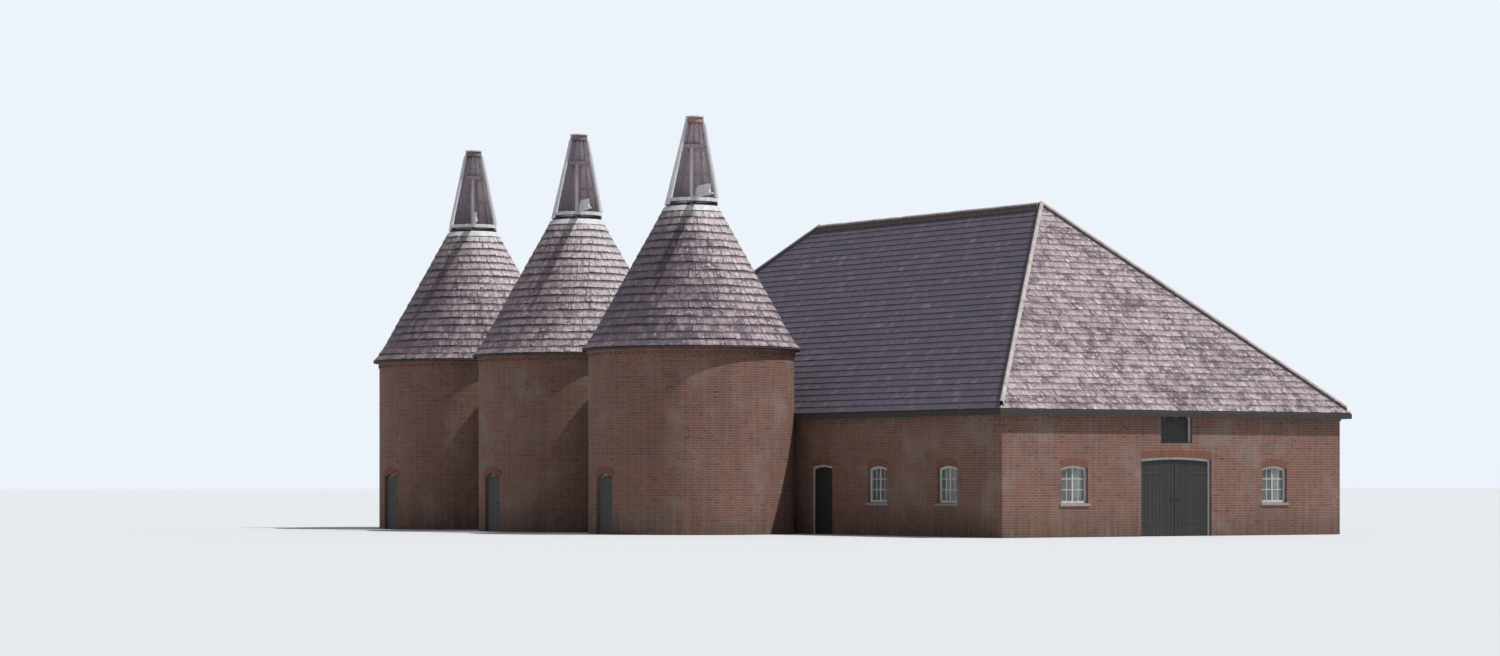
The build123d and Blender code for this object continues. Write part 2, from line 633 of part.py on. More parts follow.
def joinery():
    """Frames, leaves and glass for every opening in the stowage, and the kilns' doors."""
    kiln_doors = []
    kiln_frames = []
    for x in KILN_XS:
        place = facing(x, KILN_Y - KILN_RADIUS + FRAME_SET_BACK, 0, FRONT)
        kiln_frames.append(joinery_frame(place, KILN_DOOR_WIDTH, KILN_DOOR_HEIGHT, KILN_DOOR_RISE, False))
        panel = leaf(KILN_DOOR_WIDTH, KILN_DOOR_HEIGHT, KILN_DOOR_RISE, DOOR_LEAF)
        kiln_doors.append(set_in(place, panel, DOOR_LEAF))
    pair = leaf(CART_DOOR_WIDTH, CART_DOOR_HEIGHT, DOOR_RISE, DOOR_LEAF)
    meeting = Box(DOOR_GAP, 3 * CART_DOOR_HEIGHT, 3 * DOOR_LEAF)
    cart = set_in(CART_DOOR, pair - meeting, DOOR_LEAF)
    side = set_in(SIDE_DOOR, leaf(SIDE_DOOR_WIDTH, SIDE_DOOR_HEIGHT, DOOR_RISE, DOOR_LEAF), DOOR_LEAF)
    hatch = set_in(HATCH, leaf(HATCH_WIDTH, HATCH_HEIGHT, DOOR_RISE, DOOR_LEAF), DOOR_LEAF)
    frames = kiln_frames + [
        joinery_frame(CART_DOOR, CART_DOOR_WIDTH, CART_DOOR_HEIGHT, DOOR_RISE, False),
        joinery_frame(HATCH, HATCH_WIDTH, HATCH_HEIGHT, DOOR_RISE, False),
        joinery_frame(SIDE_DOOR, SIDE_DOOR_WIDTH, SIDE_DOOR_HEIGHT, DOOR_RISE, False),
    ]
    window_frames = [joinery_frame(p, WINDOW_WIDTH, WINDOW_HEIGHT, WINDOW_RISE, True) for p in WINDOWS]
    pane = Pos(0, FRAME_WIDTH, 0) * leaf(
        WINDOW_WIDTH, WINDOW_HEIGHT - FRAME_WIDTH, WINDOW_RISE, GLASS_THICKNESS
    )
    panes = [set_in(p, pane, GLASS_THICKNESS) for p in WINDOWS]
    return {
        "door_frames": Compound(children=frames),
        "kiln_doors": Compound(children=kiln_doors),
        "stowage_doors": Compound(children=[*cart.solids(), *side.solids(), *hatch.solids()]),
        "window_frames": Compound(children=window_frames),
        "window_glass": Compound(children=panes),
    }


def kilns():
    """The fixed pieces of each kiln and the ones that turn as its cowl."""
    front, back = kiln_wall_halves()
    fixed = {
        "wall_front": front,
        "wall_back": back,
        "roof": kiln_roof(),
        "curb": kiln_curb(),
        "spindle": spindle(),
    }
    turning = {
        "shell": cowl_shell(),
        "ring": cowl_ring(),
        "frame": cowl_frame(),
        "cap": cowl_cap(),
        "vane": cowl_vane(),
    }
    nodes = {}
    for n, x in enumerate(KILN_XS):
        for name, shape in fixed.items():
            nodes[f"kiln_{n + 1}_{name}"] = Pos(x, KILN_Y, 0) * shape
        for name, shape in turning.items():
            nodes[f"cowl_{n + 1}_{name}"] = Pos(x, KILN_Y, COWL_BASE) * Rot(0, 0, COWL_ANGLES[n]) * shape
    return nodes


def main():
    """Builds every node and writes one STEP file for each."""
    os.makedirs("parts", exist_ok=True)
    nodes = {**stowage_walls(), **stowage_floors(), **stowage_roof(), **kilns(), **joinery()}
    for name, shape in nodes.items():
        export_step(shape, f"parts/{name}.step")


main()
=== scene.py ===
"""The oast house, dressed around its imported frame.

Metres, +Z up. X runs along the stowage ridge and the kilns stand on the -Y side.
"""

from __future__ import annotations

import json
import logging
import math
import random
from collections.abc import Callable, Iterable, Sequence
from dataclasses import dataclass, field
from enum import Enum

import bpy
from mathutils import Matrix, Vector

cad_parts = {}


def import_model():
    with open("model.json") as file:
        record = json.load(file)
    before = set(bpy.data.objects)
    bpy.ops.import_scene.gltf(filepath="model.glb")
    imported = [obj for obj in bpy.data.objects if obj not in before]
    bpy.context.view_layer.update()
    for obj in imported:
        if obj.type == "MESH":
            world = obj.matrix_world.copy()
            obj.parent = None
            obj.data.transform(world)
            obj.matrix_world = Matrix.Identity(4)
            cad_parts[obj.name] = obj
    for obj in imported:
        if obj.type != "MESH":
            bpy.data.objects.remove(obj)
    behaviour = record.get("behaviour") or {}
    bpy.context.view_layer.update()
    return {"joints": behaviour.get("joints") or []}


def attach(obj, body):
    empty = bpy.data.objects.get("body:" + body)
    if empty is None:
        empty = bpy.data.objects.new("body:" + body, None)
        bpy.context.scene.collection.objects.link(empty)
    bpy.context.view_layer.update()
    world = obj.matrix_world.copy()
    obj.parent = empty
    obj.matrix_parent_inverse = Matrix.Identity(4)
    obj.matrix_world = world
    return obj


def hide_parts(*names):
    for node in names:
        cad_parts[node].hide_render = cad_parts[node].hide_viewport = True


LOG = logging.getLogger("oast_house")

Colour = tuple[float, float, float]
Socket = bpy.types.NodeSocket
Value = Socket | float | Sequence[float]

BUILDING = "building"
SUN_FROM = (0.4154, 0.3492, 0.840)

# Each kiln's slate age and its cowl's turn in degrees, nearest kiln first.
SLATE_AGES = (0.5, 1.4, 0.9)
COWL_TURNS = (-18.5, -21.0, -26.0)

KILN_RADIUS = 3.08
THROAT_RADIUS = 0.80
THROAT_HEIGHT = 9.74
BELL_RADIUS = 3.01
EAVES_RADIUS = 3.29
CONE_PITCH = 60.8
BELL_PITCH = 48.0


class Side(Enum):
    """The stowage's four sides: outward direction and direction along the wall."""

    FRONT = ((0.0, -1.0), (1.0, 0.0))
    RIGHT = ((1.0, 0.0), (0.0, 1.0))
    BACK = ((0.0, 1.0), (-1.0, 0.0))
    LEFT = ((-1.0, 0.0), (0.0, -1.0))

    @property
    def outward(self) -> Vector:
        """The horizontal direction out of the wall."""
        return Vector((*self.value[0], 0.0))

    @property
    def along(self) -> Vector:
        """The horizontal direction along the wall, left to right from outside."""
        return Vector((*self.value[1], 0.0))


class Bench:
    """Tools for shaping, copying and dressing meshes."""

    @staticmethod
    def clear() -> None:
        """Deselects every object."""
        bpy.ops.object.select_all(action="DESELECT")

    @staticmethod
    def take(*pieces: bpy.types.Object) -> None:
        """Selects only these pieces and makes the first one active."""
        Bench.clear()
        for piece in pieces:
            piece.select_set(True)
        bpy.context.view_layer.objects.active = pieces[0]

    @staticmethod
    def settle(piece: bpy.types.Object) -> bpy.types.Object:
        """Puts a piece's place, turn and scale into its mesh."""
        Bench.take(piece)
        bpy.ops.object.transform_apply(location=True, rotation=True, scale=True)
        return piece

    @staticmethod
    def block(name: str, low: Sequence[float], high: Sequence[float]) -> bpy.types.Object:
        """Adds a block between two corners.

        Args:
            name: The object's name.
            low: Lowest corner.
            high: Highest corner.

        Returns:
            The block, with its place in its mesh.
        """
        Bench.clear()
        low, high = Vector(low), Vector(high)
        bpy.ops.mesh.primitive_cube_add(size=1.0, location=(low + high) / 2)
        piece = bpy.context.object
        piece.name = name
        piece.scale = high - low
        return Bench.settle(piece)

    @staticmethod
    def pick(piece: bpy.types.Object, kind: str, test: Callable[[Vector], bool]) -> None:
        """Enters edit mode with the vertices, edges or faces selected whose centre passes a test.

        Args:
            piece: The piece to edit.
            kind: VERT, EDGE or FACE.
            test: Says whether a place is wanted.
        """
        if bpy.context.mode != "OBJECT":
            Bench.done()
        Bench.take(piece)
        bpy.ops.object.mode_set(mode="EDIT")
        bpy.ops.mesh.select_mode(type=kind)
        bpy.ops.mesh.select_all(action="DESELECT")
        bpy.ops.object.mode_set(mode="OBJECT")
        if kind == "VERT":
            for vertex in piece.data.vertices:
                vertex.select = test(vertex.co)
        elif kind == "EDGE":
            for edge in piece.data.edges:
                first, last = (piece.data.vertices[n].co for n in edge.vertices)
                edge.select = test((first + last) / 2)
        else:
            for face in piece.data.polygons:
                face.select = test(face.center)
        bpy.ops.object.mode_set(mode="EDIT")

    @staticmethod
    def done() -> None:
        """Leaves edit mode."""
        bpy.ops.object.mode_set(mode="OBJECT")

    @staticmethod
    def apply(piece: bpy.types.Object, kind: str, **settings: object) -> None:
        """Adds a modifier and applies it.

        Args:
            piece: The piece.
            kind: The modifier's type.
            **settings: Its settings.
        """
        Bench.take(piece)
        modifier = piece.modifiers.new(kind.title(), kind)
        for key, value in settings.items():
            setattr(modifier, key, value)
        bpy.ops.object.modifier_apply(modifier=modifier.name)

    @staticmethod
    def bevel(piece: bpy.types.Object, width: float, segments: int = 1) -> None:
        """Takes the sharpness off a piece's edges."""
        Bench.apply(piece, "BEVEL", width=width, segments=segments, limit_method="ANGLE")

    @staticmethod
    def stud(radius: float, place: Sequence[float] = (0.0, 0.0, 0.0)) -> bpy.types.Object:
        """Adds the round head of a bolt or a nail."""
        Bench.clear()
        bpy.ops.mesh.primitive_uv_sphere_add(segments=8, ring_count=4, radius=radius, location=place)
        return Bench.settle(bpy.context.object)

    @staticmethod
    def copy(pattern: bpy.types.Object, place: Matrix, tone: float | None = None) -> bpy.types.Object:
        """Copies a pattern with its own mesh.

        Args:
            pattern: The piece to copy.
            place: Where the copy goes.
            tone: Value of the copy's tone attribute, if it has one.

        Returns:
            The copy.
        """
        copy = pattern.copy()
        copy.data = pattern.data.copy()
        copy.data.transform(place)
        if tone is not None:
            Bench.fill(copy, "tone", tone)
        bpy.context.collection.objects.link(copy)
        return copy

    @staticmethod
    def spread(
        pattern: bpy.types.Object, places: Iterable[Matrix], rng: random.Random
    ) -> list[bpy.types.Object]:
        """Copies a pattern to each place, each copy with its own tone, and removes the pattern.

        Args:
            pattern: The piece to copy.
            places: Where the copies go.
            rng: Gives the tones.

        Returns:
            The copies.
        """
        Bench.add_tone(pattern)
        copies = [Bench.copy(pattern, place, rng.random()) for place in places]
        Bench.discard(pattern)
        return copies

    @staticmethod
    def join(name: str, pieces: Sequence[bpy.types.Object]) -> bpy.types.Object:
        """Joins pieces into one object of that name."""
        Bench.take(*pieces)
        bpy.ops.object.join()
        joined = bpy.context.object
        joined.name = name
        return joined

    @staticmethod
    def discard(piece: bpy.types.Object) -> None:
        """Removes a pattern that has been copied."""
        bpy.data.objects.remove(piece)

    @staticmethod
    def add_tone(piece: bpy.types.Object) -> None:
        """Gives a piece the tone attribute that its finish varies by."""
        piece.data.attributes.new("tone", "FLOAT", "POINT")

    @staticmethod
    def fill(piece: bpy.types.Object, attribute: str, value: float) -> None:
        """Gives every point of a piece the same value of an attribute."""
        values = piece.data.attributes[attribute].data
        values.foreach_set("value", [value] * len(values))

    @staticmethod
    def dress(node: str, material: bpy.types.Material) -> None:
        """Gives a piece of the frame its material.

        Args:
            node: The node's name.
            material: The material.
        """
        piece = bpy.data.objects[node]
        piece.data.materials.clear()
        piece.data.materials.append(material)

    @staticmethod
    def finish(piece: bpy.types.Object, material: bpy.types.Material, slot: str, body: str) -> None:
        """Dresses a piece and fixes it to its body.

        Args:
            piece: The piece.
            material: Its material.
            slot: The record's material slot; not used.
            body: The body that it moves with.
        """
        piece.data.materials.clear()
        piece.data.materials.append(material)
        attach(piece, body)
        LOG.info("%s: %d faces", piece.name, len(piece.data.polygons))


class Graph:
    """Writes the nodes of a material or a group."""

    def __init__(self, tree: bpy.types.NodeTree) -> None:
        """Starts on a node tree."""
        self.tree = tree

    def node(self, kind: str, **settings: object) -> bpy.types.Node:
        """Adds a node with settings."""
        node = self.tree.nodes.new(kind)
        for key, value in settings.items():
            setattr(node, key, value)
        return node

    def feed(self, socket: Socket, value: Value) -> None:
        """Links a socket or sets its plain value."""
        if isinstance(value, bpy.types.NodeSocket):
            self.tree.links.new(value, socket)
        elif isinstance(value, Sequence) and socket.type == "RGBA":
            socket.default_value = (*value[:3], 1.0)
        else:
            socket.default_value = value

    def math(self, operation: str, a: Value, b: Value = 0.0) -> Socket:
        """A Math node's result."""
        node = self.node("ShaderNodeMath", operation=operation)
        self.feed(node.inputs[0], a)
        self.feed(node.inputs[1], b)
        return node.outputs[0]

    def plus(self, a: Value, b: Value) -> Socket:
        """A sum."""
        return self.math("ADD", a, b)

    def less(self, a: Value, b: Value) -> Socket:
        """A difference."""
        return self.math("SUBTRACT", a, b)

    def times(self, a: Value, b: Value) -> Socket:
        """A product."""
        return self.math("MULTIPLY", a, b)

    def span(self, value: Value, low: float, high: float, start: float = 0.0, end: float = 1.0) -> Socket:
        """Maps a value from one range to another, clamped."""
        node = self.node("ShaderNodeMapRange")
        for socket, setting in zip(node.inputs, (value, low, high, start, end)):
            self.feed(socket, setting)
        return node.outputs[0]

    def mix(self, factor: Value, a: Value, b: Value) -> Socket:
        """Mixes two colours."""
        node = self.node("ShaderNodeMix", data_type="RGBA")
        self.feed(node.inputs[0], factor)
        self.feed(node.inputs[6], a)
        self.feed(node.inputs[7], b)
        return node.outputs[2]

    def choose(self, factor: Value, a: Value, b: Value) -> Socket:
        """The first value where the factor is 0 and the second where it is 1."""
        node = self.node("ShaderNodeMix", data_type="FLOAT")
        for index, value in ((0, factor), (2, a), (3, b)):
            self.feed(node.inputs[index], value)
        return node.outputs[0]

    def wash(
        self, colour: Value, over: Value, value: Value, low: float, high: float, most: float
    ) -> Socket:
        """Lays a second colour over the first as a value rises.

        Args:
            colour: The first colour.
            over: The second colour.
            value: The value that brings it in.
            low: Where the second colour starts.
            high: Where it is strongest.
            most: Its share there.

        Returns:
            The mixed colour.
        """
        return self.mix(self.span(value, low, high, 0.0, most), colour, over)

    def noise(self, vector: Value, scale: float, detail: float = 3.0, rough: float = 0.55) -> Socket:
        """A noise value, about 0.3 to 0.7."""
        node = self.node("ShaderNodeTexNoise")
        self.feed(node.inputs["Vector"], vector)
        self.feed(node.inputs["Scale"], scale)
        self.feed(node.inputs["Detail"], detail)
        self.feed(node.inputs["Roughness"], rough)
        return node.outputs["Fac"]

    def stretch(self, vector: Value, scale: Sequence[float], shift: Sequence[float] = (0, 0, 0)) -> Socket:
        """Moves and stretches a vector."""
        node = self.node("ShaderNodeMapping")
        self.feed(node.inputs["Vector"], vector)
        self.feed(node.inputs["Location"], shift)
        self.feed(node.inputs["Scale"], scale)
        return node.outputs[0]

    def parts(self, vector: Value) -> tuple[Socket, Socket, Socket]:
        """A vector's X, Y and Z."""
        node = self.node("ShaderNodeSeparateXYZ")
        self.feed(node.inputs[0], vector)
        return node.outputs[0], node.outputs[1], node.outputs[2]

    def vector(self, x: Value, y: Value, z: Value = 0.0) -> Socket:
        """A vector from its parts."""
        node = self.node("ShaderNodeCombineXYZ")
        for socket, value in zip(node.inputs, (x, y, z)):
            self.feed(socket, value)
        return node.outputs[0]

    def place(self) -> Socket:
        """The object's own coordinates."""
        return self.node("ShaderNodeTexCoord").outputs["Object"]

    def normal(self) -> tuple[Socket, Socket, Socket]:
        """The surface normal's X, Y and Z."""
        return self.parts(self.node("ShaderNodeTexCoord").outputs["Normal"])

    def sunward(self) -> Socket:
        """How far an upright face looks towards the sun, from -1 to 1."""
        x, y, _ = self.normal()
        return self.plus(self.times(x, 0.55), self.times(y, 0.835))

    def attribute(self, name: str) -> Socket:
        """A value that the mesh carries."""
        return self.node("ShaderNodeAttribute", attribute_name=name).outputs["Fac"]

    def tone(self) -> Socket:
        """The tone attribute of the piece."""
        return self.attribute("tone")

    def bump(self, height: Value, depth: float, strength: float = 1.0) -> Socket:
        """A normal bumped by a height, depth in metres."""
        node = self.node("ShaderNodeBump")
        self.feed(node.inputs["Height"], height)
        self.feed(node.inputs["Distance"], depth)
        self.feed(node.inputs["Strength"], strength)
        return node.outputs[0]

    def surface(
        self, shader: bpy.types.Node, colour: Value, normal: Value, rough: Value | None = None
    ) -> None:
        """Feeds a Principled shader.

        Args:
            shader: The shader.
            colour: Its base colour.
            normal: Its normal.
            rough: Its roughness, if it varies.
        """
        self.feed(shader.inputs["Base Color"], colour)
        self.feed(shader.inputs["Normal"], normal)
        if rough is not None:
            self.feed(shader.inputs["Roughness"], rough)

    def group(self, tree: bpy.types.NodeTree, **inputs: Value) -> bpy.types.Node:
        """Places a node group; underscores in input names stand for spaces."""
        node = self.node("ShaderNodeGroup", node_tree=tree)
        for name, value in inputs.items():
            self.feed(node.inputs[name.replace("_", " ")], value)
        return node


class SharedEffects:
    """Node groups that several finishes use."""

    def __init__(self) -> None:
        """Builds each group once."""
        self.weather = self._weather()
        self.grain = self._grain()
        self.courses = self._courses()

    @staticmethod
    def _open(name: str, *values: str) -> tuple[Graph, bpy.types.NodeOutputs, bpy.types.NodeInputs]:
        """Starts a group that takes a vector and gives some values.

        Args:
            name: The group's name.
            *values: The names of the values.

        Returns:
            The graph, its input node's outputs and its output node's inputs.
        """
        tree = bpy.data.node_groups.new(name, "ShaderNodeTree")
        tree.interface.new_socket("Vector", in_out="INPUT", socket_type="NodeSocketVector")
        for value in values:
            tree.interface.new_socket(value, in_out="OUTPUT", socket_type="NodeSocketFloat")
        graph = Graph(tree)
        entry = graph.node("NodeGroupInput").outputs
        leave = graph.node("NodeGroupOutput").inputs
        return graph, entry, leave

    def _weather(self) -> bpy.types.NodeTree:
        """Broad mottling, fine speckle and streaks down the face."""
        graph, entry, leave = self._open("Weather", "Broad", "Fine", "Streak")
        place = entry["Vector"]
        graph.feed(leave["Broad"], graph.span(graph.noise(place, 0.9, 5.0, 0.6), 0.32, 0.68))
        graph.feed(leave["Fine"], graph.span(graph.noise(place, 26.0, 4.0, 0.65), 0.3, 0.7))
        streaks = graph.noise(graph.stretch(place, (7.0, 7.0, 0.55)), 1.0, 4.0, 0.6)
        graph.feed(leave["Streak"], graph.span(streaks, 0.36, 0.66))
        return graph.tree

    def _grain(self) -> bpy.types.NodeTree:
        """Wood grain along the vector's Z."""
        graph, entry, leave = self._open("Wood Grain", "Grain", "Cracks")
        fibres = graph.noise(graph.stretch(entry["Vector"], (60.0, 60.0, 2.4)), 1.0, 4.0, 0.6)
        graph.feed(leave["Grain"], graph.span(fibres, 0.3, 0.7))
        checks = graph.noise(graph.stretch(entry["Vector"], (34.0, 34.0, 1.3)), 1.0, 2.0, 0.5)
        graph.feed(leave["Cracks"], graph.span(checks, 0.6, 0.66))
        return graph.tree

    def _courses(self) -> bpy.types.NodeTree:
        """Brick courses on a face: a value for each brick, its joints and its height."""
        graph, entry, leave = self._open("Brick Courses", "Brick", "Joint", "Height")
        wander = graph.noise(entry["Vector"], 9.0, 2.0)
        shift = graph.times(graph.less(wander, 0.5), 0.008)
        bent = graph.node("ShaderNodeVectorMath", operation="ADD")
        graph.feed(bent.inputs[0], entry["Vector"])
        graph.feed(bent.inputs[1], graph.vector(shift, shift))
        bricks = graph.node("ShaderNodeTexBrick", offset=0.5, squash=0.5, squash_frequency=2)
        graph.feed(bricks.inputs["Vector"], bent.outputs[0])
        for name, value in (
            ("Color1", (0, 0, 0)),
            ("Color2", (1, 1, 1)),
            ("Mortar", (0.5, 0.5, 0.5)),
            ("Scale", 1.0),
            ("Mortar Size", 0.0052),
            ("Mortar Smooth", 0.25),
            ("Bias", 0.0),
            ("Brick Width", 0.225),
            ("Row Height", 0.075),
        ):
            graph.feed(bricks.inputs[name], value)
        graph.feed(leave["Brick"], bricks.outputs["Color"])
        graph.feed(leave["Joint"], bricks.outputs["Fac"])
        rough = graph.times(graph.noise(entry["Vector"], 60.0, 4.0), 0.35)
        face = graph.less(1.0, bricks.outputs["Fac"])
        graph.feed(leave["Height"], graph.plus(face, rough))
        return graph.tree


@dataclass(frozen=True)
class Finish:
    """A material: its name, and the Principled settings that are the same all over."""

    name: str
    roughness: float = 0.8

    def start(self) -> tuple[Graph, bpy.types.ShaderNodeBsdfPrincipled, bpy.types.Material]:
        """Makes the material with a Principled shader and its plain values."""
        material = bpy.data.materials.new(self.name)
        material.use_nodes = True
        shader = material.node_tree.nodes["Principled BSDF"]
        shader.inputs["Roughness"].default_value = self.roughness
        return Graph(material.node_tree), shader, material

    def material(self, effects: SharedEffects) -> bpy.types.Material:
        """Builds the material.

        Args:
            effects: The shared node groups.

        Returns:
            The material.
        """
        raise NotImplementedError


@dataclass(frozen=True)
class SlateFinish(Finish):
    """Weathered slate: a tone to each slate, lichen by age, and painted light and shade by how far each face
    turns to the sun; painted shadow with grime under each butt.
    """

    dark: Colour = (0.086, 0.069, 0.108)
    mauve: Colour = (0.195, 0.114, 0.132)
    pale: Colour = (0.565, 0.442, 0.462)
    lichen: Colour = (0.86, 0.765, 0.745)
    grime: Colour = (0.028, 0.022, 0.030)

    def material(self, effects: SharedEffects) -> bpy.types.Material:
        """Builds the slate."""
        graph, shader, material = self.start()
        place = graph.place()
        broad, fine, streak = graph.group(effects.weather, Vector=place).outputs
        facing, tone, age = graph.sunward(), graph.tone(), graph.attribute("age")
        across, up, _ = graph.parts(graph.node("ShaderNodeUVMap", uv_map="slate").outputs[0])
        _, _, z = graph.parts(place)
        kiln = graph.span(age, 0.4, 0.5)
        low = graph.times(graph.span(z, 5.6, 8.0, 1.0, 0.0), kiln)
        # Painted light and shade: faces turned from the sun come out dark purple, faces turned to it pale and
        # lichened, less so low on the kiln cones.
        facing = graph.times(facing, graph.span(low, 0.0, 1.0, 1.0, 0.68))
        painted_light_and_patina = graph.span(graph.plus(facing, graph.times(low, 0.17)), -0.50, 0.58)
        run_off = graph.times(graph.span(z, 6.0, 9.4, -0.26, 0.28), kiln)
        purple = graph.math("MAXIMUM", painted_light_and_patina, graph.span(age, 0.0, 1.0, 0.0, 0.8))
        colour = graph.mix(purple, self.dark, self.mauve)
        colour = graph.mix(graph.span(tone, 0.0, 0.6, 0.4, 0.0), colour, self.dark)
        colour = graph.wash(colour, self.mauve, tone, 0.55, 1.0, 0.45)
        worn = graph.plus(graph.times(painted_light_and_patina, 0.78), graph.times(age, 0.5))
        worn = graph.plus(graph.plus(worn, run_off), graph.span(broad, 0.0, 1.0, -0.34, 0.0))
        patches = graph.plus(graph.noise(place, 2.6, 4.0, 0.66), graph.span(tone, 0.0, 1.0, -0.10, 0.10))
        patches = graph.plus(patches, graph.times(worn, 0.32))
        # sunlit is painted light: the pale patches, lichen spots and pale top band below show only on faces
        # turned to the sun.
        sunlit = graph.span(painted_light_and_patina, 0.0, 0.7, 0.3, 0.9)
        colour = graph.mix(graph.times(graph.span(patches, 0.54, 0.80), sunlit), colour, self.pale)
        spots = graph.plus(graph.noise(place, 9.0, 5.0, 0.7), graph.times(worn, 0.16))
        colour = graph.mix(graph.times(graph.span(spots, 0.62, 0.72), sunlit), colour, self.lichen)
        washed = graph.times(graph.span(z, 8.95, 9.5), kiln)
        washed = graph.times(washed, graph.span(streak, 0.0, 0.7, 1.0, 0.5))
        colour = graph.mix(graph.times(washed, sunlit), colour, self.lichen)
        colour = graph.wash(colour, self.dark, fine, 0.2, 1.0, 0.4)
        wander = graph.plus(up, graph.span(fine, 0.0, 1.0, -0.06, 0.06))
        # Painted shadow with grime: a dark band on each slate just under the butt of the course above.
        shadow_and_grime_under_butt = graph.times(graph.span(wander, 0.42, 0.68), graph.span(kiln, 0.0, 1.0, 0.5, 0.9))
        at_joint = graph.span(graph.math("ABSOLUTE", graph.less(across, 0.5)), 0.46, 0.5, 0.0, 0.45)
        colour = graph.mix(graph.math("MAXIMUM", shadow_and_grime_under_butt, at_joint), colour, self.grime)
        colour = graph.wash(colour, self.grime, streak, 0.2, 1.0, 0.3)
        rough = graph.span(fine, 0.0, 1.0, 0.62, 0.9)
        graph.surface(shader, colour, graph.bump(graph.noise(place, 38.0, 5.0, 0.6), 0.008, 0.8), rough)
        return material


@dataclass(frozen=True)
class BrickFinish(Finish):
    """Red-brown brickwork in English bond with lime mortar."""

    red: Colour = (0.30, 0.115, 0.075)
    brown: Colour = (0.20, 0.095, 0.070)
    burnt: Colour = (0.095, 0.060, 0.055)
    mortar: Colour = (0.36, 0.32, 0.27)
    centre: tuple[float, float] | None = None

    def _face(self, graph: Graph) -> Socket:
        """Where a point lies on the wall's face: along it and up it."""
        x, y, z = graph.parts(graph.place())
        if self.centre:
            turn = graph.math(
                "ARCTAN2", graph.less(y, self.centre[1]), graph.less(x, self.centre[0])
            )
            return graph.vector(graph.times(turn, KILN_RADIUS), z)
        nx, _, nz = graph.normal()
        end_wall = graph.math("GREATER_THAN", graph.math("ABSOLUTE", nx), 0.5)
        flat = graph.math("GREATER_THAN", graph.math("ABSOLUTE", nz), 0.7)
        return graph.vector(graph.choose(end_wall, x, y), graph.choose(flat, z, y))

    def material(self, effects: SharedEffects) -> bpy.types.Material:
        """Builds the brickwork."""
        graph, shader, material = self.start()
        place = graph.place()
        wall = graph.group(effects.courses, Vector=self._face(graph))
        brick, joint, height = wall.outputs
        broad, fine, streak = graph.group(effects.weather, Vector=place).outputs
        colour = graph.mix(brick, self.brown, self.red)
        colour = graph.mix(graph.span(graph.math("ABSOLUTE", graph.less(brick, 0.5)), 0.0, 0.07, 0.8, 0.0),
                           colour, self.burnt)
        colour = graph.wash(colour, self.burnt, fine, 0.2, 1.0, 0.45)
        colour = graph.wash(colour, self.mortar, broad, 0.5, 1.0, 0.35)
        colour = graph.mix(joint, colour, self.mortar)
        _, _, z = graph.parts(place)
        damp = graph.times(graph.span(z, 0.0, 0.9, 0.75, 0.0), graph.span(streak, 0.0, 1.0, 0.4, 1.0))
        colour = graph.mix(damp, colour, (0.060, 0.055, 0.038))
        colour = graph.wash(colour, self.burnt, streak, 0.3, 1.0, 0.25)
        graph.surface(shader, colour, graph.bump(height, 0.008, 0.8))
        return material


@dataclass(frozen=True)
class PaintFinish(Finish):
    """Painted boards: brush grain, grime, and bare timber where the paint has gone; where set, painted shade
    along the bottom edge and painted light and shade on the bare inner faces.
    """

    paint: Colour = (0.80, 0.80, 0.82)
    grime: Colour = (0.42, 0.41, 0.42)
    bare: Colour = (0.25, 0.215, 0.20)
    flaking: float = 0.65
    timber: tuple[Colour, Colour] | None = None
    painted_shade_height: float | None = None

    def _timber_with_painted_light(self, graph: Graph, grain: Socket, cracks: Socket) -> Socket:
        """Bare boards, paler and warmer on faces turned from the sun and darker on faces turned to it:
        painted light and shade.
        """
        wood = graph.mix(graph.span(graph.sunward(), -0.35, 0.45), *self.timber)
        wood = graph.wash(wood, self.bare, grain, 0.0, 1.0, 0.12)
        wood = graph.wash(wood, self.bare, graph.tone(), 0.0, 1.0, 0.1)
        return graph.mix(graph.times(cracks, 0.4), wood, (0.10, 0.08, 0.08))

    def material(self, effects: SharedEffects) -> bpy.types.Material:
        """Builds the paint, and the bare timber where the piece's bare mask shows it."""
        graph, shader, material = self.start()
        place = graph.place()
        broad, fine, streak = graph.group(effects.weather, Vector=place).outputs
        grain, cracks = graph.group(effects.grain, Vector=place).outputs
        tone = graph.tone()
        colour = graph.mix(graph.span(tone, 0.0, 1.0, 0.0, 0.12), self.paint, self.grime)
        colour = graph.wash(colour, self.grime, streak, 0.25, 1.0, 0.38)
        colour = graph.wash(colour, self.grime, broad, 0.5, 1.0, 0.25)
        flaked = graph.noise(graph.stretch(place, (9.0, 9.0, 3.0)), 1.0, 6.0, 0.7)
        flakes = graph.span(flaked, self.flaking, self.flaking + 0.03)
        colour = graph.mix(flakes, colour, self.bare)
        colour = graph.mix(graph.times(cracks, 0.5), colour, self.bare)
        if self.timber:
            # The bare inner faces carry painted light and shade.
            bare = graph.attribute("bare")
            colour = graph.mix(bare, colour, self._timber_with_painted_light(graph, grain, cracks))
        # Painted shade: a near-black band along the bottom, below the given height.
        if self.painted_shade_height:
            _, _, z = graph.parts(place)
            edge = graph.plus(z, graph.span(fine, 0.0, 1.0, -0.006, 0.006))
            painted_shade_mask = graph.span(edge, self.painted_shade_height, self.painted_shade_height + 0.012, 1.0, 0.0)
            colour = graph.mix(painted_shade_mask, colour, (0.03, 0.027, 0.03))
        height = graph.less(graph.times(grain, 0.3), flakes)
        rough = graph.span(fine, 0.0, 1.0, 0.45, 0.7)
        graph.surface(shader, colour, graph.bump(height, 0.0015, 0.8), rough)
        return material


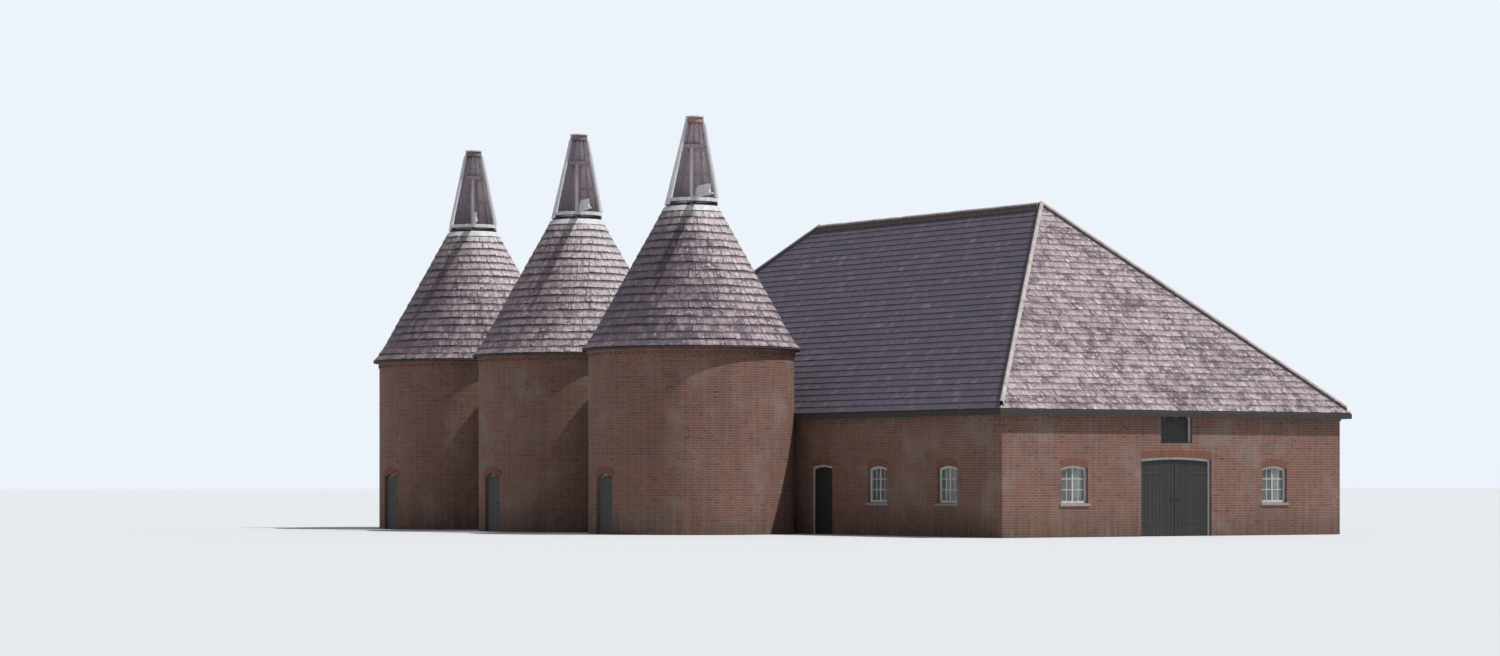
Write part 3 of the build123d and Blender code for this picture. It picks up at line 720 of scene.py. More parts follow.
@dataclass(frozen=True)
class TimberFinish(Finish):
    """Bare weathered timber with the grain along Z."""

    light: Colour = (0.25, 0.205, 0.195)
    dark: Colour = (0.125, 0.095, 0.095)
    rust: Colour = (0.40, 0.245, 0.230)
    sooty: Colour = (0.24, 0.20, 0.21)
    head: float | None = None

    def material(self, effects: SharedEffects) -> bpy.types.Material:
        """Builds the timber."""
        graph, shader, material = self.start()
        place = graph.place()
        broad, _, streak = graph.group(effects.weather, Vector=place).outputs
        grain, cracks = graph.group(effects.grain, Vector=place).outputs
        colour = graph.mix(grain, self.dark, self.light)
        colour = graph.wash(colour, self.dark, graph.tone(), 0.0, 1.0, 0.45)
        colour = graph.wash(colour, self.dark, broad, 0.4, 1.0, 0.3)
        colour = graph.wash(colour, self.dark, streak, 0.4, 1.0, 0.4)
        colour = graph.mix(graph.times(cracks, 0.8), colour, (0.05, 0.04, 0.04))
        if self.head:
            x, _, z = graph.parts(place)
            band = graph.mix(graph.span(x, -3.0, -2.0), self.sooty, self.rust)
            colour = graph.mix(graph.span(z, self.head, self.head + 0.04), colour, band)
        graph.surface(shader, colour, graph.bump(graph.less(grain, cracks), 0.003, 0.7))
        return material


@dataclass(frozen=True)
class LeadFinish(Finish):
    """Pale dressed lead with streaks and a bloom."""

    sheet: Colour = (0.80, 0.79, 0.78)
    dull: Colour = (0.42, 0.42, 0.44)

    def material(self, effects: SharedEffects) -> bpy.types.Material:
        """Builds the lead."""
        graph, shader, material = self.start()
        place = graph.place()
        broad, fine, streak = graph.group(effects.weather, Vector=place).outputs
        colour = graph.mix(graph.span(streak, 0.2, 1.0, 0.0, 0.55), self.sheet, self.dull)
        colour = graph.wash(colour, self.dull, broad, 0.4, 1.0, 0.3)
        rough = graph.span(fine, 0.0, 1.0, 0.45, 0.75)
        graph.surface(shader, colour, graph.bump(graph.noise(place, 7.0, 3.0), 0.012, 0.5), rough)
        return material


@dataclass(frozen=True)
class PlainFinish(Finish):
    """A mottled mineral or metal surface of two colours."""

    light: Colour = (0.40, 0.36, 0.33)
    dark: Colour = (0.22, 0.19, 0.17)
    speck: float = 20.0
    depth: float = 0.004

    def material(self, effects: SharedEffects) -> bpy.types.Material:
        """Builds the surface."""
        graph, shader, material = self.start()
        place = graph.place()
        broad, fine, streak = graph.group(effects.weather, Vector=place).outputs
        spots = graph.span(graph.noise(place, self.speck, 5.0, 0.65), 0.35, 0.68)
        colour = graph.mix(spots, self.dark, self.light)
        colour = graph.wash(colour, self.dark, graph.tone(), 0.0, 1.0, 0.5)
        colour = graph.wash(colour, self.light, broad, 0.4, 1.0, 0.35)
        colour = graph.wash(colour, self.dark, streak, 0.4, 1.0, 0.35)
        rough = graph.span(fine, 0.0, 1.0, self.roughness - 0.12, self.roughness + 0.08)
        graph.surface(shader, colour, graph.bump(spots, self.depth, 0.6), rough)
        return material


@dataclass(frozen=True)
class CapTileFinish(Finish):
    """Clay cap tiles with moss spots and a mossy foot, and painted light and shade: pale on faces turned to
    the sun, dark on faces turned from it.
    """

    lit: Colour = (0.62, 0.56, 0.52)
    painted_shade_and_dirt: Colour = (0.085, 0.060, 0.076)
    moss: Colour = (0.32, 0.275, 0.17)

    def material(self, effects: SharedEffects) -> bpy.types.Material:
        """Builds the tiles."""
        graph, shader, material = self.start()
        place = graph.place()
        _, fine, streak = graph.group(effects.weather, Vector=place).outputs
        normal = graph.normal()
        facing = 0.0
        for part, share in zip(normal, SUN_FROM):
            facing = graph.plus(facing, graph.times(part, share))
        spots = graph.noise(place, 14.0, 5.0, 0.65)
        facing = graph.plus(facing, graph.span(spots, 0.3, 0.7, -0.1, 0.1))
        # Painted light and shade: the lit colour on faces turned to the sun, the shade colour on faces turned
        # from it.
        colour = graph.mix(graph.span(facing, 0.12, 0.45), self.painted_shade_and_dirt, self.lit)
        colour = graph.wash(colour, self.painted_shade_and_dirt, graph.tone(), 0.0, 1.0, 0.2)
        colour = graph.wash(colour, self.moss, spots, 0.55, 0.66, 0.3)
        colour = graph.mix(graph.span(normal[2], -0.12, -0.3, 0.0, 0.9), colour, self.moss)
        colour = graph.wash(colour, self.painted_shade_and_dirt, streak, 0.3, 1.0, 0.3)
        rough = graph.span(fine, 0.0, 1.0, 0.7, 0.92)
        graph.surface(shader, colour, graph.bump(spots, 0.005, 0.6), rough)
        return material


@dataclass(frozen=True)
class GlassFinish(Finish):
    """Window glass in front of a dark room."""

    def material(self, effects: SharedEffects) -> bpy.types.Material:
        """Builds the glass."""
        graph, shader, material = self.start()
        broad, _, _ = graph.group(effects.weather, Vector=graph.place()).outputs
        graph.feed(shader.inputs["Base Color"], graph.mix(broad, (0.52, 0.58, 0.58), (0.62, 0.66, 0.65)))
        shader.inputs["Transmission Weight"].default_value = 0.85
        shader.inputs["IOR"].default_value = 1.45
        graph.feed(shader.inputs["Normal"], graph.bump(graph.noise(graph.place(), 2.2, 1.0), 0.004, 0.3))
        return material


class Finishes:
    """Every material of the building, built once."""

    def __init__(self, kiln_axes: Sequence[Vector]) -> None:
        """Builds the materials, with one brickwork for each kiln's axis."""
        effects = SharedEffects()
        self.slate = SlateFinish("Roof slate").material(effects)
        self.brick = BrickFinish("Stowage brickwork", 0.88).material(effects)
        self.kiln_bricks = [
            BrickFinish(f"Kiln {n + 1} brickwork", 0.88, centre=(axis.x, axis.y)).material(effects)
            for n, axis in enumerate(kiln_axes)
        ]
        # Inner board colours: the first on faces turned from the sun, the second on faces turned to it, as
        # painted light and shade.
        inside = ((0.95, 0.83, 0.87), (0.66, 0.58, 0.69))
        self.cowl_boards = PaintFinish(
            "Cowl boards", 0.6, paint=(0.88, 0.885, 0.92), grime=(0.46, 0.45, 0.47), timber=inside
        ).material(effects)
        self.cowl_cap = PaintFinish("Cowl cap paint", 0.6, paint=(0.88, 0.87, 0.87)).material(effects)
        self.post_paint = PaintFinish(
            "Post paint", 0.5, paint=(0.95, 0.85, 0.90), flaking=0.7
        ).material(effects)
        self.vane_paint = PaintFinish("Vane paint", 0.5, paint=(0.92, 0.91, 0.95)).material(effects)
        # The ring's bottom edge gets painted shade where the gap under the cowl lies.
        self.cowl_ring = PaintFinish("Cowl ring paint", 0.6, painted_shade_height=9.906).material(effects)
        self.cowl_timber = TimberFinish(
            "Cowl timber", 0.85, light=(0.74, 0.64, 0.67), dark=(0.56, 0.48, 0.51), head=12.2
        ).material(effects)
        self.arch_brick = PlainFinish(
            "Arch brick", 0.88, light=(0.33, 0.12, 0.075), dark=(0.15, 0.07, 0.055)
        ).material(effects)
        self.joinery_paint = PaintFinish(
            "Joinery paint", 0.5, paint=(0.72, 0.72, 0.70), flaking=0.68
        ).material(effects)
        self.timber = TimberFinish("Bare timber", 0.85).material(effects)
        self.tar = PlainFinish(
            "Tarred boards", 0.6, light=(0.040, 0.036, 0.034), dark=(0.014, 0.013, 0.013)
        ).material(effects)
        # Near-black curb: tarred timber, darkened further as painted shade in the gap under the cowl ring.
        self.curb_tar_and_shade = PlainFinish(
            "Curb tar with painted shade", 0.7, light=(0.014, 0.010, 0.018), dark=(0.007, 0.005, 0.010)
        ).material(effects)
        self.lead = LeadFinish("Dressed lead", 0.6).material(effects)
        self.tile = CapTileFinish("Ridge tile", 0.85).material(effects)
        self.stone = PlainFinish(
            "Floor stone", 0.85, light=(0.45, 0.43, 0.40), dark=(0.27, 0.25, 0.23)
        ).material(effects)
        self.iron = PlainFinish(
            "Black iron", 0.55, light=(0.05, 0.045, 0.042), dark=(0.018, 0.016, 0.016)
        ).material(effects)
        self.underlay = PlainFinish(
            "Roof underlay", 0.9, light=(0.060, 0.050, 0.045), dark=(0.03, 0.026, 0.025)
        ).material(effects)
        self.glass = GlassFinish("Window glass", 0.06).material(effects)


@dataclass
class SlatePattern:
    """Roofing slates a metre each way, to be scaled to their course, with worn butts."""

    gauge: float = 0.267
    lap: float = 0.085
    width: float = 0.24
    thickness: float = 0.013
    joint: float = 0.006
    butts: tuple[tuple[float, ...], ...] = (
        (0.0, 0.0, 0.0, 0.0), (0.045, 0.0, 0.012, 0.0), (0.0, 0.02, 0.0, 0.05),
    )

    def build(self, head: float = 1.0) -> list[bpy.types.Object]:
        """Models one slate for each kind of butt.

        Args:
            head: Width of its head over the width of its butt.

        Returns:
            Slates from x -0.5 to 0.5, y 0 to 1 and z 0 to 1.
        """
        slate = Bench.block("slate_pattern", (-0.5, 0.0, 0.0), (0.5, 1.0, 1.0))
        Bench.pick(slate, "EDGE", lambda place: abs(place.x) < 0.1)
        bpy.ops.mesh.subdivide(number_cuts=2)
        Bench.done()
        Bench.pick(slate, "VERT", lambda place: place.y > 0.5)
        bpy.ops.transform.resize(value=(head, 1.0, 1.0), center_override=(0.0, 1.0, 0.5))
        Bench.done()
        layer = slate.data.uv_layers.active
        layer.name = "slate"
        for loop in slate.data.loops:
            place = slate.data.vertices[loop.vertex_index].co
            layer.data[loop.index].uv = (place.x + 0.5, place.y)
        Bench.add_tone(slate)
        slate.data.attributes.new("age", "FLOAT", "POINT")
        slates = [Bench.copy(slate, Matrix()) for _ in self.butts]
        for worn, butt in zip(slates, self.butts):
            for vertex in worn.data.vertices:
                if vertex.co.y < 0.5:
                    vertex.co.y = butt[round((vertex.co.x + 0.5) * 3)]
        Bench.discard(slate)
        return slates

    def lie(self, butt: Vector, head: Vector, out: Vector, width: float, lift: float, skew: float) -> Matrix:
        """Where one slate lies: its head on the roof and its butt on the slate below.

        Args:
            butt: Middle of the butt, on the roof's surface.
            head: Middle of the head, on the roof's surface.
            out: The roof's outward normal.
            width: The slate's width.
            lift: Extra height of the butt.
            skew: Turn in the roof's plane, in radians.

        Returns:
            The place of the pattern's copy.
        """
        length = (head - butt).length
        raised = self.thickness + lift
        low = butt + out * raised
        high = head + out * (raised * (1.0 - length / self.gauge))
        up = (high - low).normalized()
        up = (up + up.cross(out) * skew).normalized()
        side = up.cross(out).normalized()
        basis = Matrix((side * width, up * length, side.cross(up) * self.thickness)).transposed().to_4x4()
        return Matrix.Translation(low) @ basis


@dataclass
class ConeSlating:
    """The slates of one kiln's cone, from its bell-cast eaves up to the lead apron."""

    pattern: SlatePattern
    rng: random.Random
    profile: tuple[tuple[float, float], ...]
    first_butt: float = 0.045
    slate_width: float = 0.19
    sag: float = 0.012

    def _runs(self) -> list[float]:
        """Length of each straight run of the profile."""
        return [math.hypot(r1 - r0, z1 - z0) for (r0, z0), (r1, z1) in zip(self.profile, self.profile[1:])]

    def _point(self, distance: float) -> tuple[float, float]:
        """Radius and height of the roof's surface at a distance up the slope from the eaves."""
        runs = self._runs()
        n = 0
        while n < len(runs) - 1 and distance > runs[n]:
            distance -= runs[n]
            n += 1
        (r0, z0), (r1, z1) = self.profile[n : n + 2]
        return r0 + (r1 - r0) * distance / runs[n], z0 + (z1 - z0) * distance / runs[n]

    def build(self, name: str) -> bpy.types.Object:
        """Lays every course about the Z axis.

        Args:
            name: The piece's name.

        Returns:
            The joined slates.
        """
        length = self.pattern.gauge + self.pattern.lap
        start, course = self.first_butt, 0
        pieces = []
        while start + length <= sum(self._runs()):
            radius, height = self._point(start)
            head_radius, head_height = self._point(start + length)
            count = max(20, round(2 * math.pi * radius / self.slate_width))
            width = 2 * math.pi * radius / count - self.pattern.joint
            slates = self.pattern.build(head_radius / radius)
            sway, phase = self.rng.uniform(2, 5), self.rng.uniform(0, 6)
            for n in range(count):
                angle = 2 * math.pi * (n + 0.5 * (course % 2) + self.rng.uniform(-0.05, 0.05)) / count
                wave = self.sag * math.sin(round(sway) * angle + phase) + self.rng.uniform(-0.011, 0.011)
                round_way = Vector((math.cos(angle), math.sin(angle), 0.0))
                butt = round_way * radius + Vector((0.0, 0.0, height + (wave if course else 0.0)))
                head = round_way * head_radius + Vector((0.0, 0.0, head_height))
                out = (round_way * (head_height - height) + Vector((0, 0, radius - head_radius))).normalized()
                lift, skew = self.rng.uniform(0.0, 0.006), self.rng.uniform(-0.014, 0.014)
                place = self.pattern.lie(butt, head, out, width, lift, skew)
                pieces.append(Bench.copy(self.rng.choice(slates), place, self.rng.random()))
            for slate in slates:
                Bench.discard(slate)
            start += self.pattern.gauge
            course += 1
        return Bench.join(name, pieces)


@dataclass
class SlopeSlating:
    """The slates of one stowage slope, cut to its hips."""

    pattern: SlatePattern
    rng: random.Random
    side: Side
    half_run: float
    half_along: float
    eaves_height: float
    pitch: float
    kilns: Sequence[Vector]
    first_butt: float = 0.04

    def build(self, name: str) -> bpy.types.Object:
        """Lays every course and trims the slates at the ridge and the hips.

        Args:
            name: The piece's name.

        Returns:
            The joined slates.
        """
        tilt = math.radians(self.pitch)
        up = Vector((0, 0, math.sin(tilt))) - self.side.outward * math.cos(tilt)
        out = self.side.outward * math.sin(tilt) + Vector((0, 0, math.cos(tilt)))
        eaves = self.side.outward * self.half_run + Vector((0, 0, self.eaves_height))
        slope = min(self.half_run, self.half_along) / math.cos(tilt)
        length = self.pattern.gauge + self.pattern.lap
        slates = self.pattern.build()
        pieces = []
        for course in range(int((slope - self.first_butt) / self.pattern.gauge) + 1):
            start = self.first_butt + course * self.pattern.gauge
            reach = self.half_along - start * math.cos(tilt)
            last = int(max(reach, 0.0) / self.pattern.width) + 1
            for n in range(-last, last + 1):
                along = (n + 0.5 * (course % 2)) * self.pattern.width + self.rng.uniform(-0.006, 0.006)
                butt = eaves + self.side.along * along + up * (start + self.rng.uniform(-0.006, 0.006))
                middle = butt + up * length / 2
                inside = any((middle - axis).to_2d().length < KILN_RADIUS - 0.12 for axis in self.kilns)
                if reach < 0.1 or inside or abs(along) - self.pattern.width / 2 > reach:
                    continue
                lift, skew = self.rng.uniform(0.0, 0.005), self.rng.uniform(-0.012, 0.012)
                width = self.pattern.width - self.pattern.joint
                place = self.pattern.lie(butt, butt + up * length, out, width, lift, skew)
                pieces.append(Bench.copy(self.rng.choice(slates), place, self.rng.random()))
        for slate in slates:
            Bench.discard(slate)
        joined = Bench.join(name, pieces)
        cuts = [(Vector(), -self.side.outward)]
        for hand in (-1.0, 1.0):
            corner = self.side.outward * self.half_run + self.side.along * self.half_along * hand
            cuts.append((corner, (self.side.along * hand - self.side.outward).normalized()))
        for spot, across in cuts:
            Bench.pick(joined, "VERT", lambda place: True)
            bpy.ops.mesh.bisect(plane_co=spot, plane_no=across, clear_outer=True, use_fill=True)
            Bench.done()
        return joined


@dataclass
class CapTiles:
    """Round clay tiles along the ridge or down a hip."""

    rng: random.Random
    radius: float
    foot: float
    flattening: float
    length: float = 0.44
    joint: float = 0.010
    thickness: float = 0.016

    def pattern(self) -> bpy.types.Object:
        """Models one tile along +Y with its middle line on the Y axis."""
        Bench.clear()
        depth = self.length - self.joint
        bpy.ops.mesh.primitive_cylinder_add(
            vertices=16, radius=self.radius, depth=depth, end_fill_type="NOTHING",
            location=(0, depth / 2, 0), rotation=(math.pi / 2, 0, 0),
        )
        tile = Bench.settle(bpy.context.object)
        Bench.pick(tile, "FACE", lambda place: place.z < -self.foot * self.radius)
        bpy.ops.mesh.delete(type="FACE")
        Bench.pick(tile, "VERT", lambda place: True)
        bpy.ops.transform.resize(value=(1.0, 1.0, self.flattening), center_override=(0, 0, 0))
        Bench.done()
        Bench.apply(tile, "SOLIDIFY", thickness=self.thickness, offset=-1.0)
        return tile

    def run(self, start: Vector, end: Vector, lift: float) -> list[bpy.types.Object]:
        """Lays tiles along a line.

        Args:
            start: Foot of the line.
            end: Head of the line.
            lift: Height of the tiles' middle over the line.

        Returns:
            The tiles.
        """
        way = (end - start).normalized()
        flat = Vector((way.x, way.y, 0.0)).normalized()
        side = Vector((flat.y, -flat.x, 0.0))
        count = round((end - start).length / self.length)
        scale = (end - start).length / count / self.length
        basis = Matrix((side, way * scale, Vector((0, 0, 1)))).transposed().to_4x4()
        feet = (
            start + way * (n * self.length * scale) + Vector((0, 0, lift + self.rng.uniform(-0.005, 0.005)))
            for n in range(count)
        )
        return Bench.spread(self.pattern(), (Matrix.Translation(foot) @ basis for foot in feet), self.rng)


@dataclass(frozen=True)
class Opening:
    """A doorway or window: its foot on the wall's outer face, its size and the rise of its head."""

    foot: Vector
    side: Side
    width: float
    height: float
    rise: float
    curve: float = 0.0

    @property
    def place(self) -> Matrix:
        """Local X runs along the wall, local Y goes into it and local Z goes up."""
        axes = Matrix((self.side.along, -self.side.outward, Vector((0, 0, 1)))).transposed().to_4x4()
        return Matrix.Translation(self.foot) @ axes

    def arch_radius(self, half: float) -> float:
        """Radius of the head's arch over half its span."""
        return (half**2 + self.rise**2) / (2 * self.rise)

    def head(self, x: float, inset: float = 0.0) -> float:
        """Height of the arched head over a place across the opening."""
        half = self.width / 2 - inset
        radius = self.arch_radius(half)
        return self.height - inset - radius + math.sqrt(max(radius**2 - min(abs(x), half) ** 2, 0.0))

    def face(self, x: float) -> float:
        """How far a round wall's face falls back at a place across the opening."""
        return self.curve - math.sqrt(self.curve**2 - x**2) if self.curve else 0.0


@dataclass
class Joinery:
    """Doors, window bars, sills and brick arches over every opening."""

    finishes: Finishes
    rng: random.Random
    frame: float = 0.065
    leaf_front: float = 0.11
    board: float = 0.135
    board_thickness: float = 0.014
    voussoir: float = 0.073

    def build(self, windows: Sequence[Opening], doors: Sequence[Opening], pair: Opening) -> None:
        """Builds and dresses the joinery.

        Args:
            windows: The windows.
            doors: The doorways with one leaf.
            pair: The doorway with two leaves.
        """
        bars = [piece for window in windows for piece in self._bars(window)]
        sills = [self._sill(window) for window in windows]
        arches = [piece for opening in (*windows, *doors, pair) for piece in self._arch(opening)]
        boards, iron = [], []
        for door in (*doors, pair):
            half = door.width / 2 - self.frame
            leaves = ((-half, -0.006), (0.006, half)) if door is pair else ((-half, half),)
            for number, (low, high) in enumerate(leaves):
                boards += self._boards(door, low, high)
                iron += self._hinges(door, low, high, bool(number))
        for name, pieces, material, slot in (
            ("window_bars", bars, self.finishes.joinery_paint, "joinery_paint"),
            ("window_sills", sills, self.finishes.stone, "floor_slab"),
            ("brick_arches", arches, self.finishes.arch_brick, "brick"),
            ("door_boards", boards, self.finishes.tar, "tarred_boards"),
            ("door_iron", iron, self.finishes.iron, "tarred_boards"),
        ):
            Bench.finish(Bench.join(name, pieces), material, slot, BUILDING)

    def _plank(self, opening: Opening, box: tuple[float, ...], arched: bool = False) -> bpy.types.Object:
        """A bevelled board in an opening.

        Args:
            opening: The opening.
            box: Lowest and highest x, y and z.
            arched: Whether its top follows the opening's head.

        Returns:
            The board.
        """
        piece = Bench.block("board", box[0::2], box[1::2])
        if arched:
            for vertex in piece.data.vertices:
                if vertex.co.z > (box[4] + box[5]) / 2:
                    vertex.co.z = opening.head(vertex.co.x, self.frame) - 0.004
        Bench.bevel(piece, 0.003)
        return Bench.spread(piece, [opening.place], self.rng)[0]

    def _boards(self, door: Opening, low: float, high: float) -> list[bpy.types.Object]:
        """The upright boards of a leaf."""
        count = round((high - low) / self.board)
        step = (high - low) / count
        back = self.leaf_front
        lefts = [low + n * step for n in range(count)]
        front = back - self.board_thickness
        return [
            self._plank(door, (left + 0.002, left + step - 0.002, front, back, 0.008, door.height), True)
            for left in lefts
        ]

    def _hinges(self, door: Opening, low: float, high: float, right: bool) -> list[bpy.types.Object]:
        """Two strap hinges with their nails, and the latch ring, for a leaf hung on one edge."""
        front = self.leaf_front - self.board_thickness
        reach = (high - low) * 0.78
        edge, way = (high, -1.0) if right else (low, 1.0)
        pieces = []
        for level in (0.18 * door.height, 0.82 * (door.height - door.rise)):
            strap = Bench.block("strap", (0, front - 0.007, level - 0.026), (reach, front, level + 0.026))
            Bench.pick(strap, "VERT", lambda place: place.x > reach / 2)
            bpy.ops.transform.resize(value=(1.0, 1.0, 0.45), center_override=(reach, front, level))
            Bench.done()
            Bench.bevel(strap, 0.0025)
            parts = [strap]
            for n in range(5):
                parts.append(Bench.stud(0.010, (0.05 + (reach - 0.09) * n / 4, front - 0.008, level)))
            fitting = Bench.join("strap", parts)
            turn = Matrix.Translation((edge, 0, 0)) @ Matrix.Diagonal((way, 1, 1, 1))
            fitting.data.transform(door.place @ turn)
            if right:
                fitting.data.flip_normals()
            pieces.append(fitting)
        Bench.clear()
        spot = (edge + way * (high - low - 0.10), front - 0.012, min(1.05, door.height * 0.5))
        bpy.ops.mesh.primitive_torus_add(
            major_segments=20, minor_segments=6, major_radius=0.045, minor_radius=0.007,
            location=spot, rotation=(math.pi / 2, 0, 0),
        )
        ring = Bench.settle(bpy.context.object)
        ring.data.transform(door.place)
        pieces.append(ring)
        for piece in pieces:
            Bench.add_tone(piece)
        return pieces

    def _bars(self, window: Opening) -> list[bpy.types.Object]:
        """The mullion and glazing bars of a window."""
        half, low = window.width / 2 - self.frame, self.frame
        pieces = [self._plank(window, (-0.025, 0.025, 0.108, 0.164, low, window.height), True)]
        for x in (-half / 2, half / 2):
            pieces.append(self._plank(window, (x - 0.011, x + 0.011, 0.118, 0.152, low, window.height), True))
        for n in (1, 2):
            level = low + (window.height - 2 * self.frame) * n / 3
            pieces.append(self._plank(window, (-half, half, 0.120, 0.150, level - 0.011, level + 0.011)))
        return pieces

    def _sill(self, window: Opening) -> bpy.types.Object:
        """The weathered sill under a window."""
        half = window.width / 2 + 0.06
        sill = Bench.block("sill", (-half, -0.045, -0.085), (half, 0.088, 0.004))
        Bench.pick(sill, "VERT", lambda place: place.y < 0 < place.z)
        bpy.ops.transform.translate(value=(0, 0, -0.022))
        Bench.done()
        Bench.bevel(sill, 0.006, 2)
        return Bench.spread(sill, [window.place], self.rng)[0]

    def _arch(self, opening: Opening) -> list[bpy.types.Object]:
        """The brick voussoirs over an opening."""
        half = opening.width / 2
        radius = opening.arch_radius(half)
        spread = math.asin(half / radius)
        count = round(2 * spread * radius / self.voussoir) | 1
        brick = Bench.block("voussoir", (-0.5, -0.006, 0.002), (0.5, 0.10, 0.215))
        across = 2 * spread * radius / count - 0.009
        for vertex in brick.data.vertices:
            vertex.co.x *= across * (1.0 if vertex.co.z < 0.1 else (radius + 0.215) / radius)
        Bench.bevel(brick, 0.004)
        places = []
        for n in range(count):
            turn = -spread + 2 * spread * (n + 0.5) / count
            x = radius * math.sin(turn)
            foot = Vector((x, opening.face(x), opening.height - radius + radius * math.cos(turn)))
            places.append(opening.place @ Matrix.Translation(foot) @ Matrix.Rotation(turn, 4, "Y"))
        return Bench.spread(brick, places, self.rng)


@dataclass
class Stowage:
    """The hipped stowage: slopes, cap tiles, rafter feet, walls, doors and windows."""

    finishes: Finishes
    kilns: Sequence[Vector]
    rng: random.Random = field(default_factory=lambda: random.Random(11))
    half_length: float = 12.14
    half_depth: float = 6.25
    overhang: float = 0.25
    pitch: float = 44.0
    wall_height: float = 3.64
    roof_thickness: float = 0.1
    rafter_spacing: float = 0.42
    # Openings: height of the sill, width, height and rise of the head. A kiln's door has no sill.
    window: tuple[float, ...] = (0.95, 0.95, 1.05, 0.07)
    side_door: tuple[float, ...] = (0.0, 1.1, 2.05, 0.06)
    cart_door: tuple[float, ...] = (0.0, 2.6, 2.25, 0.06)
    hatch: tuple[float, ...] = (2.65, 1.15, 0.9, 0.06)
    kiln_door: tuple[float, ...] = (0.9, 1.8, 0.15)
    # How weathered each slope's slates are, with painted shade: slopes turned from the sun get low values and
    # come out darker.
    slope_ages_and_shade: dict[str, float] = field(
        default_factory=lambda: {"FRONT": 0.0, "RIGHT": 0.3, "BACK": 0.3, "LEFT": 0.12}
    )

    def slope_height(self, inset: float) -> float:
        """Height of the roof's surface at a distance in from the wall's face."""
        tilt = math.radians(self.pitch)
        return self.wall_height + self.roof_thickness / math.cos(tilt) + inset * math.tan(tilt)

    def build(self) -> None:
        """Builds and dresses the stowage."""
        self._slates()
        self._cap_tiles()
        self._rafter_feet()
        rows = {
            Side.FRONT: (6.2, 9.6),
            Side.RIGHT: (-3.7, 3.7),
            Side.LEFT: (-3.7, 1.85),
            Side.BACK: [4.856 * n for n in range(-2, 3)],
        }
        windows = [self._opening(side, along, *self.window) for side in rows for along in rows[side]]
        doors = [
            self._opening(Side.FRONT, 3.35, *self.side_door),
            self._opening(Side.RIGHT, 0.0, *self.hatch),
        ]
        for axis in self.kilns:
            foot = axis - Vector((0.0, KILN_RADIUS, 0.0))
            doors.append(Opening(foot, Side.FRONT, *self.kiln_door, KILN_RADIUS))
        pair = self._opening(Side.RIGHT, 0.0, *self.cart_door)
        Joinery(self.finishes, self.rng).build(windows, doors, pair)
        self._nodes()

    def _opening(
        self, side: Side, along: float, sill: float, width: float, height: float, rise: float
    ) -> Opening:
        """An opening in one of the four walls."""
        reach = self.half_length if side in (Side.LEFT, Side.RIGHT) else self.half_depth
        foot = side.outward * reach + side.along * along + Vector((0, 0, sill))
        return Opening(foot, side, width, height, rise)

    def _slates(self) -> None:
        """Slates the four slopes."""
        x, y = self.half_length + self.overhang, self.half_depth + self.overhang
        for side in Side:
            run, along = (y, x) if side in (Side.FRONT, Side.BACK) else (x, y)
            eaves = self.slope_height(-self.overhang)
            slating = SlopeSlating(SlatePattern(), self.rng, side, run, along, eaves, self.pitch, self.kilns)
            slates = slating.build(f"{side.name.lower()}_slope_slates")
            Bench.fill(slates, "age", self.slope_ages_and_shade[side.name])
            Bench.finish(slates, self.finishes.slate, "slate", BUILDING)

    def _cap_tiles(self) -> None:
        """Tiles the ridge and the hips."""
        x, y = self.half_length + self.overhang - 0.1, self.half_depth + self.overhang - 0.1
        ridge = self.half_length - self.half_depth
        top, low = self.slope_height(self.half_depth), self.slope_height(0.1 - self.overhang)
        crown = CapTiles(self.rng, radius=0.16, foot=0.62, flattening=1.0)
        tiles = crown.run(Vector((-ridge, 0, top)), Vector((ridge, 0, top)), -0.03)
        caps = CapTiles(self.rng, radius=0.07, foot=0.62, flattening=1.6)
        for hand_x in (-1, 1):
            for hand_y in (-1, 1):
                foot, head = Vector((hand_x * x, hand_y * y, low)), Vector((hand_x * ridge, 0, top))
                tiles += caps.run(foot, head, 0.05)
        kept = []
        for tile in tiles:
            middle = sum((vertex.co for vertex in tile.data.vertices), Vector()) / len(tile.data.vertices)
            if any((middle - axis).to_2d().length < KILN_RADIUS + 0.1 for axis in self.kilns):
                Bench.discard(tile)
            else:
                kept.append(tile)
        joined = Bench.join("cap_tiles", kept)
        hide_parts("ridge_and_hip_tiles")
        Bench.finish(joined, self.finishes.tile, "tile", BUILDING)

    def _rafter_feet(self) -> None:
        """The rafters' feet under the eaves."""
        fall = math.tan(math.radians(self.pitch))
        foot = Bench.block("rafter", (-0.03, -self.overhang + 0.03, -0.13), (0.03, 0.0, -0.02))
        for vertex in foot.data.vertices:
            vertex.co.z += vertex.co.y * fall
        Bench.pick(foot, "VERT", lambda place: place.y < -0.1 and place.z < -self.overhang * fall - 0.02)
        bpy.ops.transform.translate(value=(0, 0, 0.045))
        Bench.done()
        Bench.bevel(foot, 0.004)
        places = []
        for side in Side:
            reach = self.half_length if side in (Side.FRONT, Side.BACK) else self.half_depth
            count = int(2 * reach / self.rafter_spacing)
            for n in range(count + 1):
                along = -reach + 2 * reach * (n + 0.5) / (count + 1)
                spot = self._opening(side, along, self.wall_height, 1, 1, 1)
                if all((spot.foot - axis).to_2d().length > KILN_RADIUS + 0.3 for axis in self.kilns):
                    places.append(spot.place)
        feet = Bench.join("rafter_feet", Bench.spread(foot, places, self.rng))
        Bench.finish(feet, self.finishes.timber, "bare_timber", BUILDING)

    def _nodes(self) -> None:
        """Dresses the frame's own pieces."""
        looks = self.finishes
        dress = {f"stowage_{side.name.lower()}_wall": looks.brick for side in Side}
        dress |= {f"roof_{side.name.lower()}": looks.underlay for side in Side}
        dress |= {"ground_floor": looks.stone, "upper_floor": looks.timber, "floor_posts": looks.timber}
        dress |= {"door_frames": looks.joinery_paint, "window_frames": looks.joinery_paint}
        dress |= {"window_glass": looks.glass, "stowage_doors": looks.tar, "kiln_doors": looks.tar}
        for node, material in dress.items():
            Bench.dress(node, material)


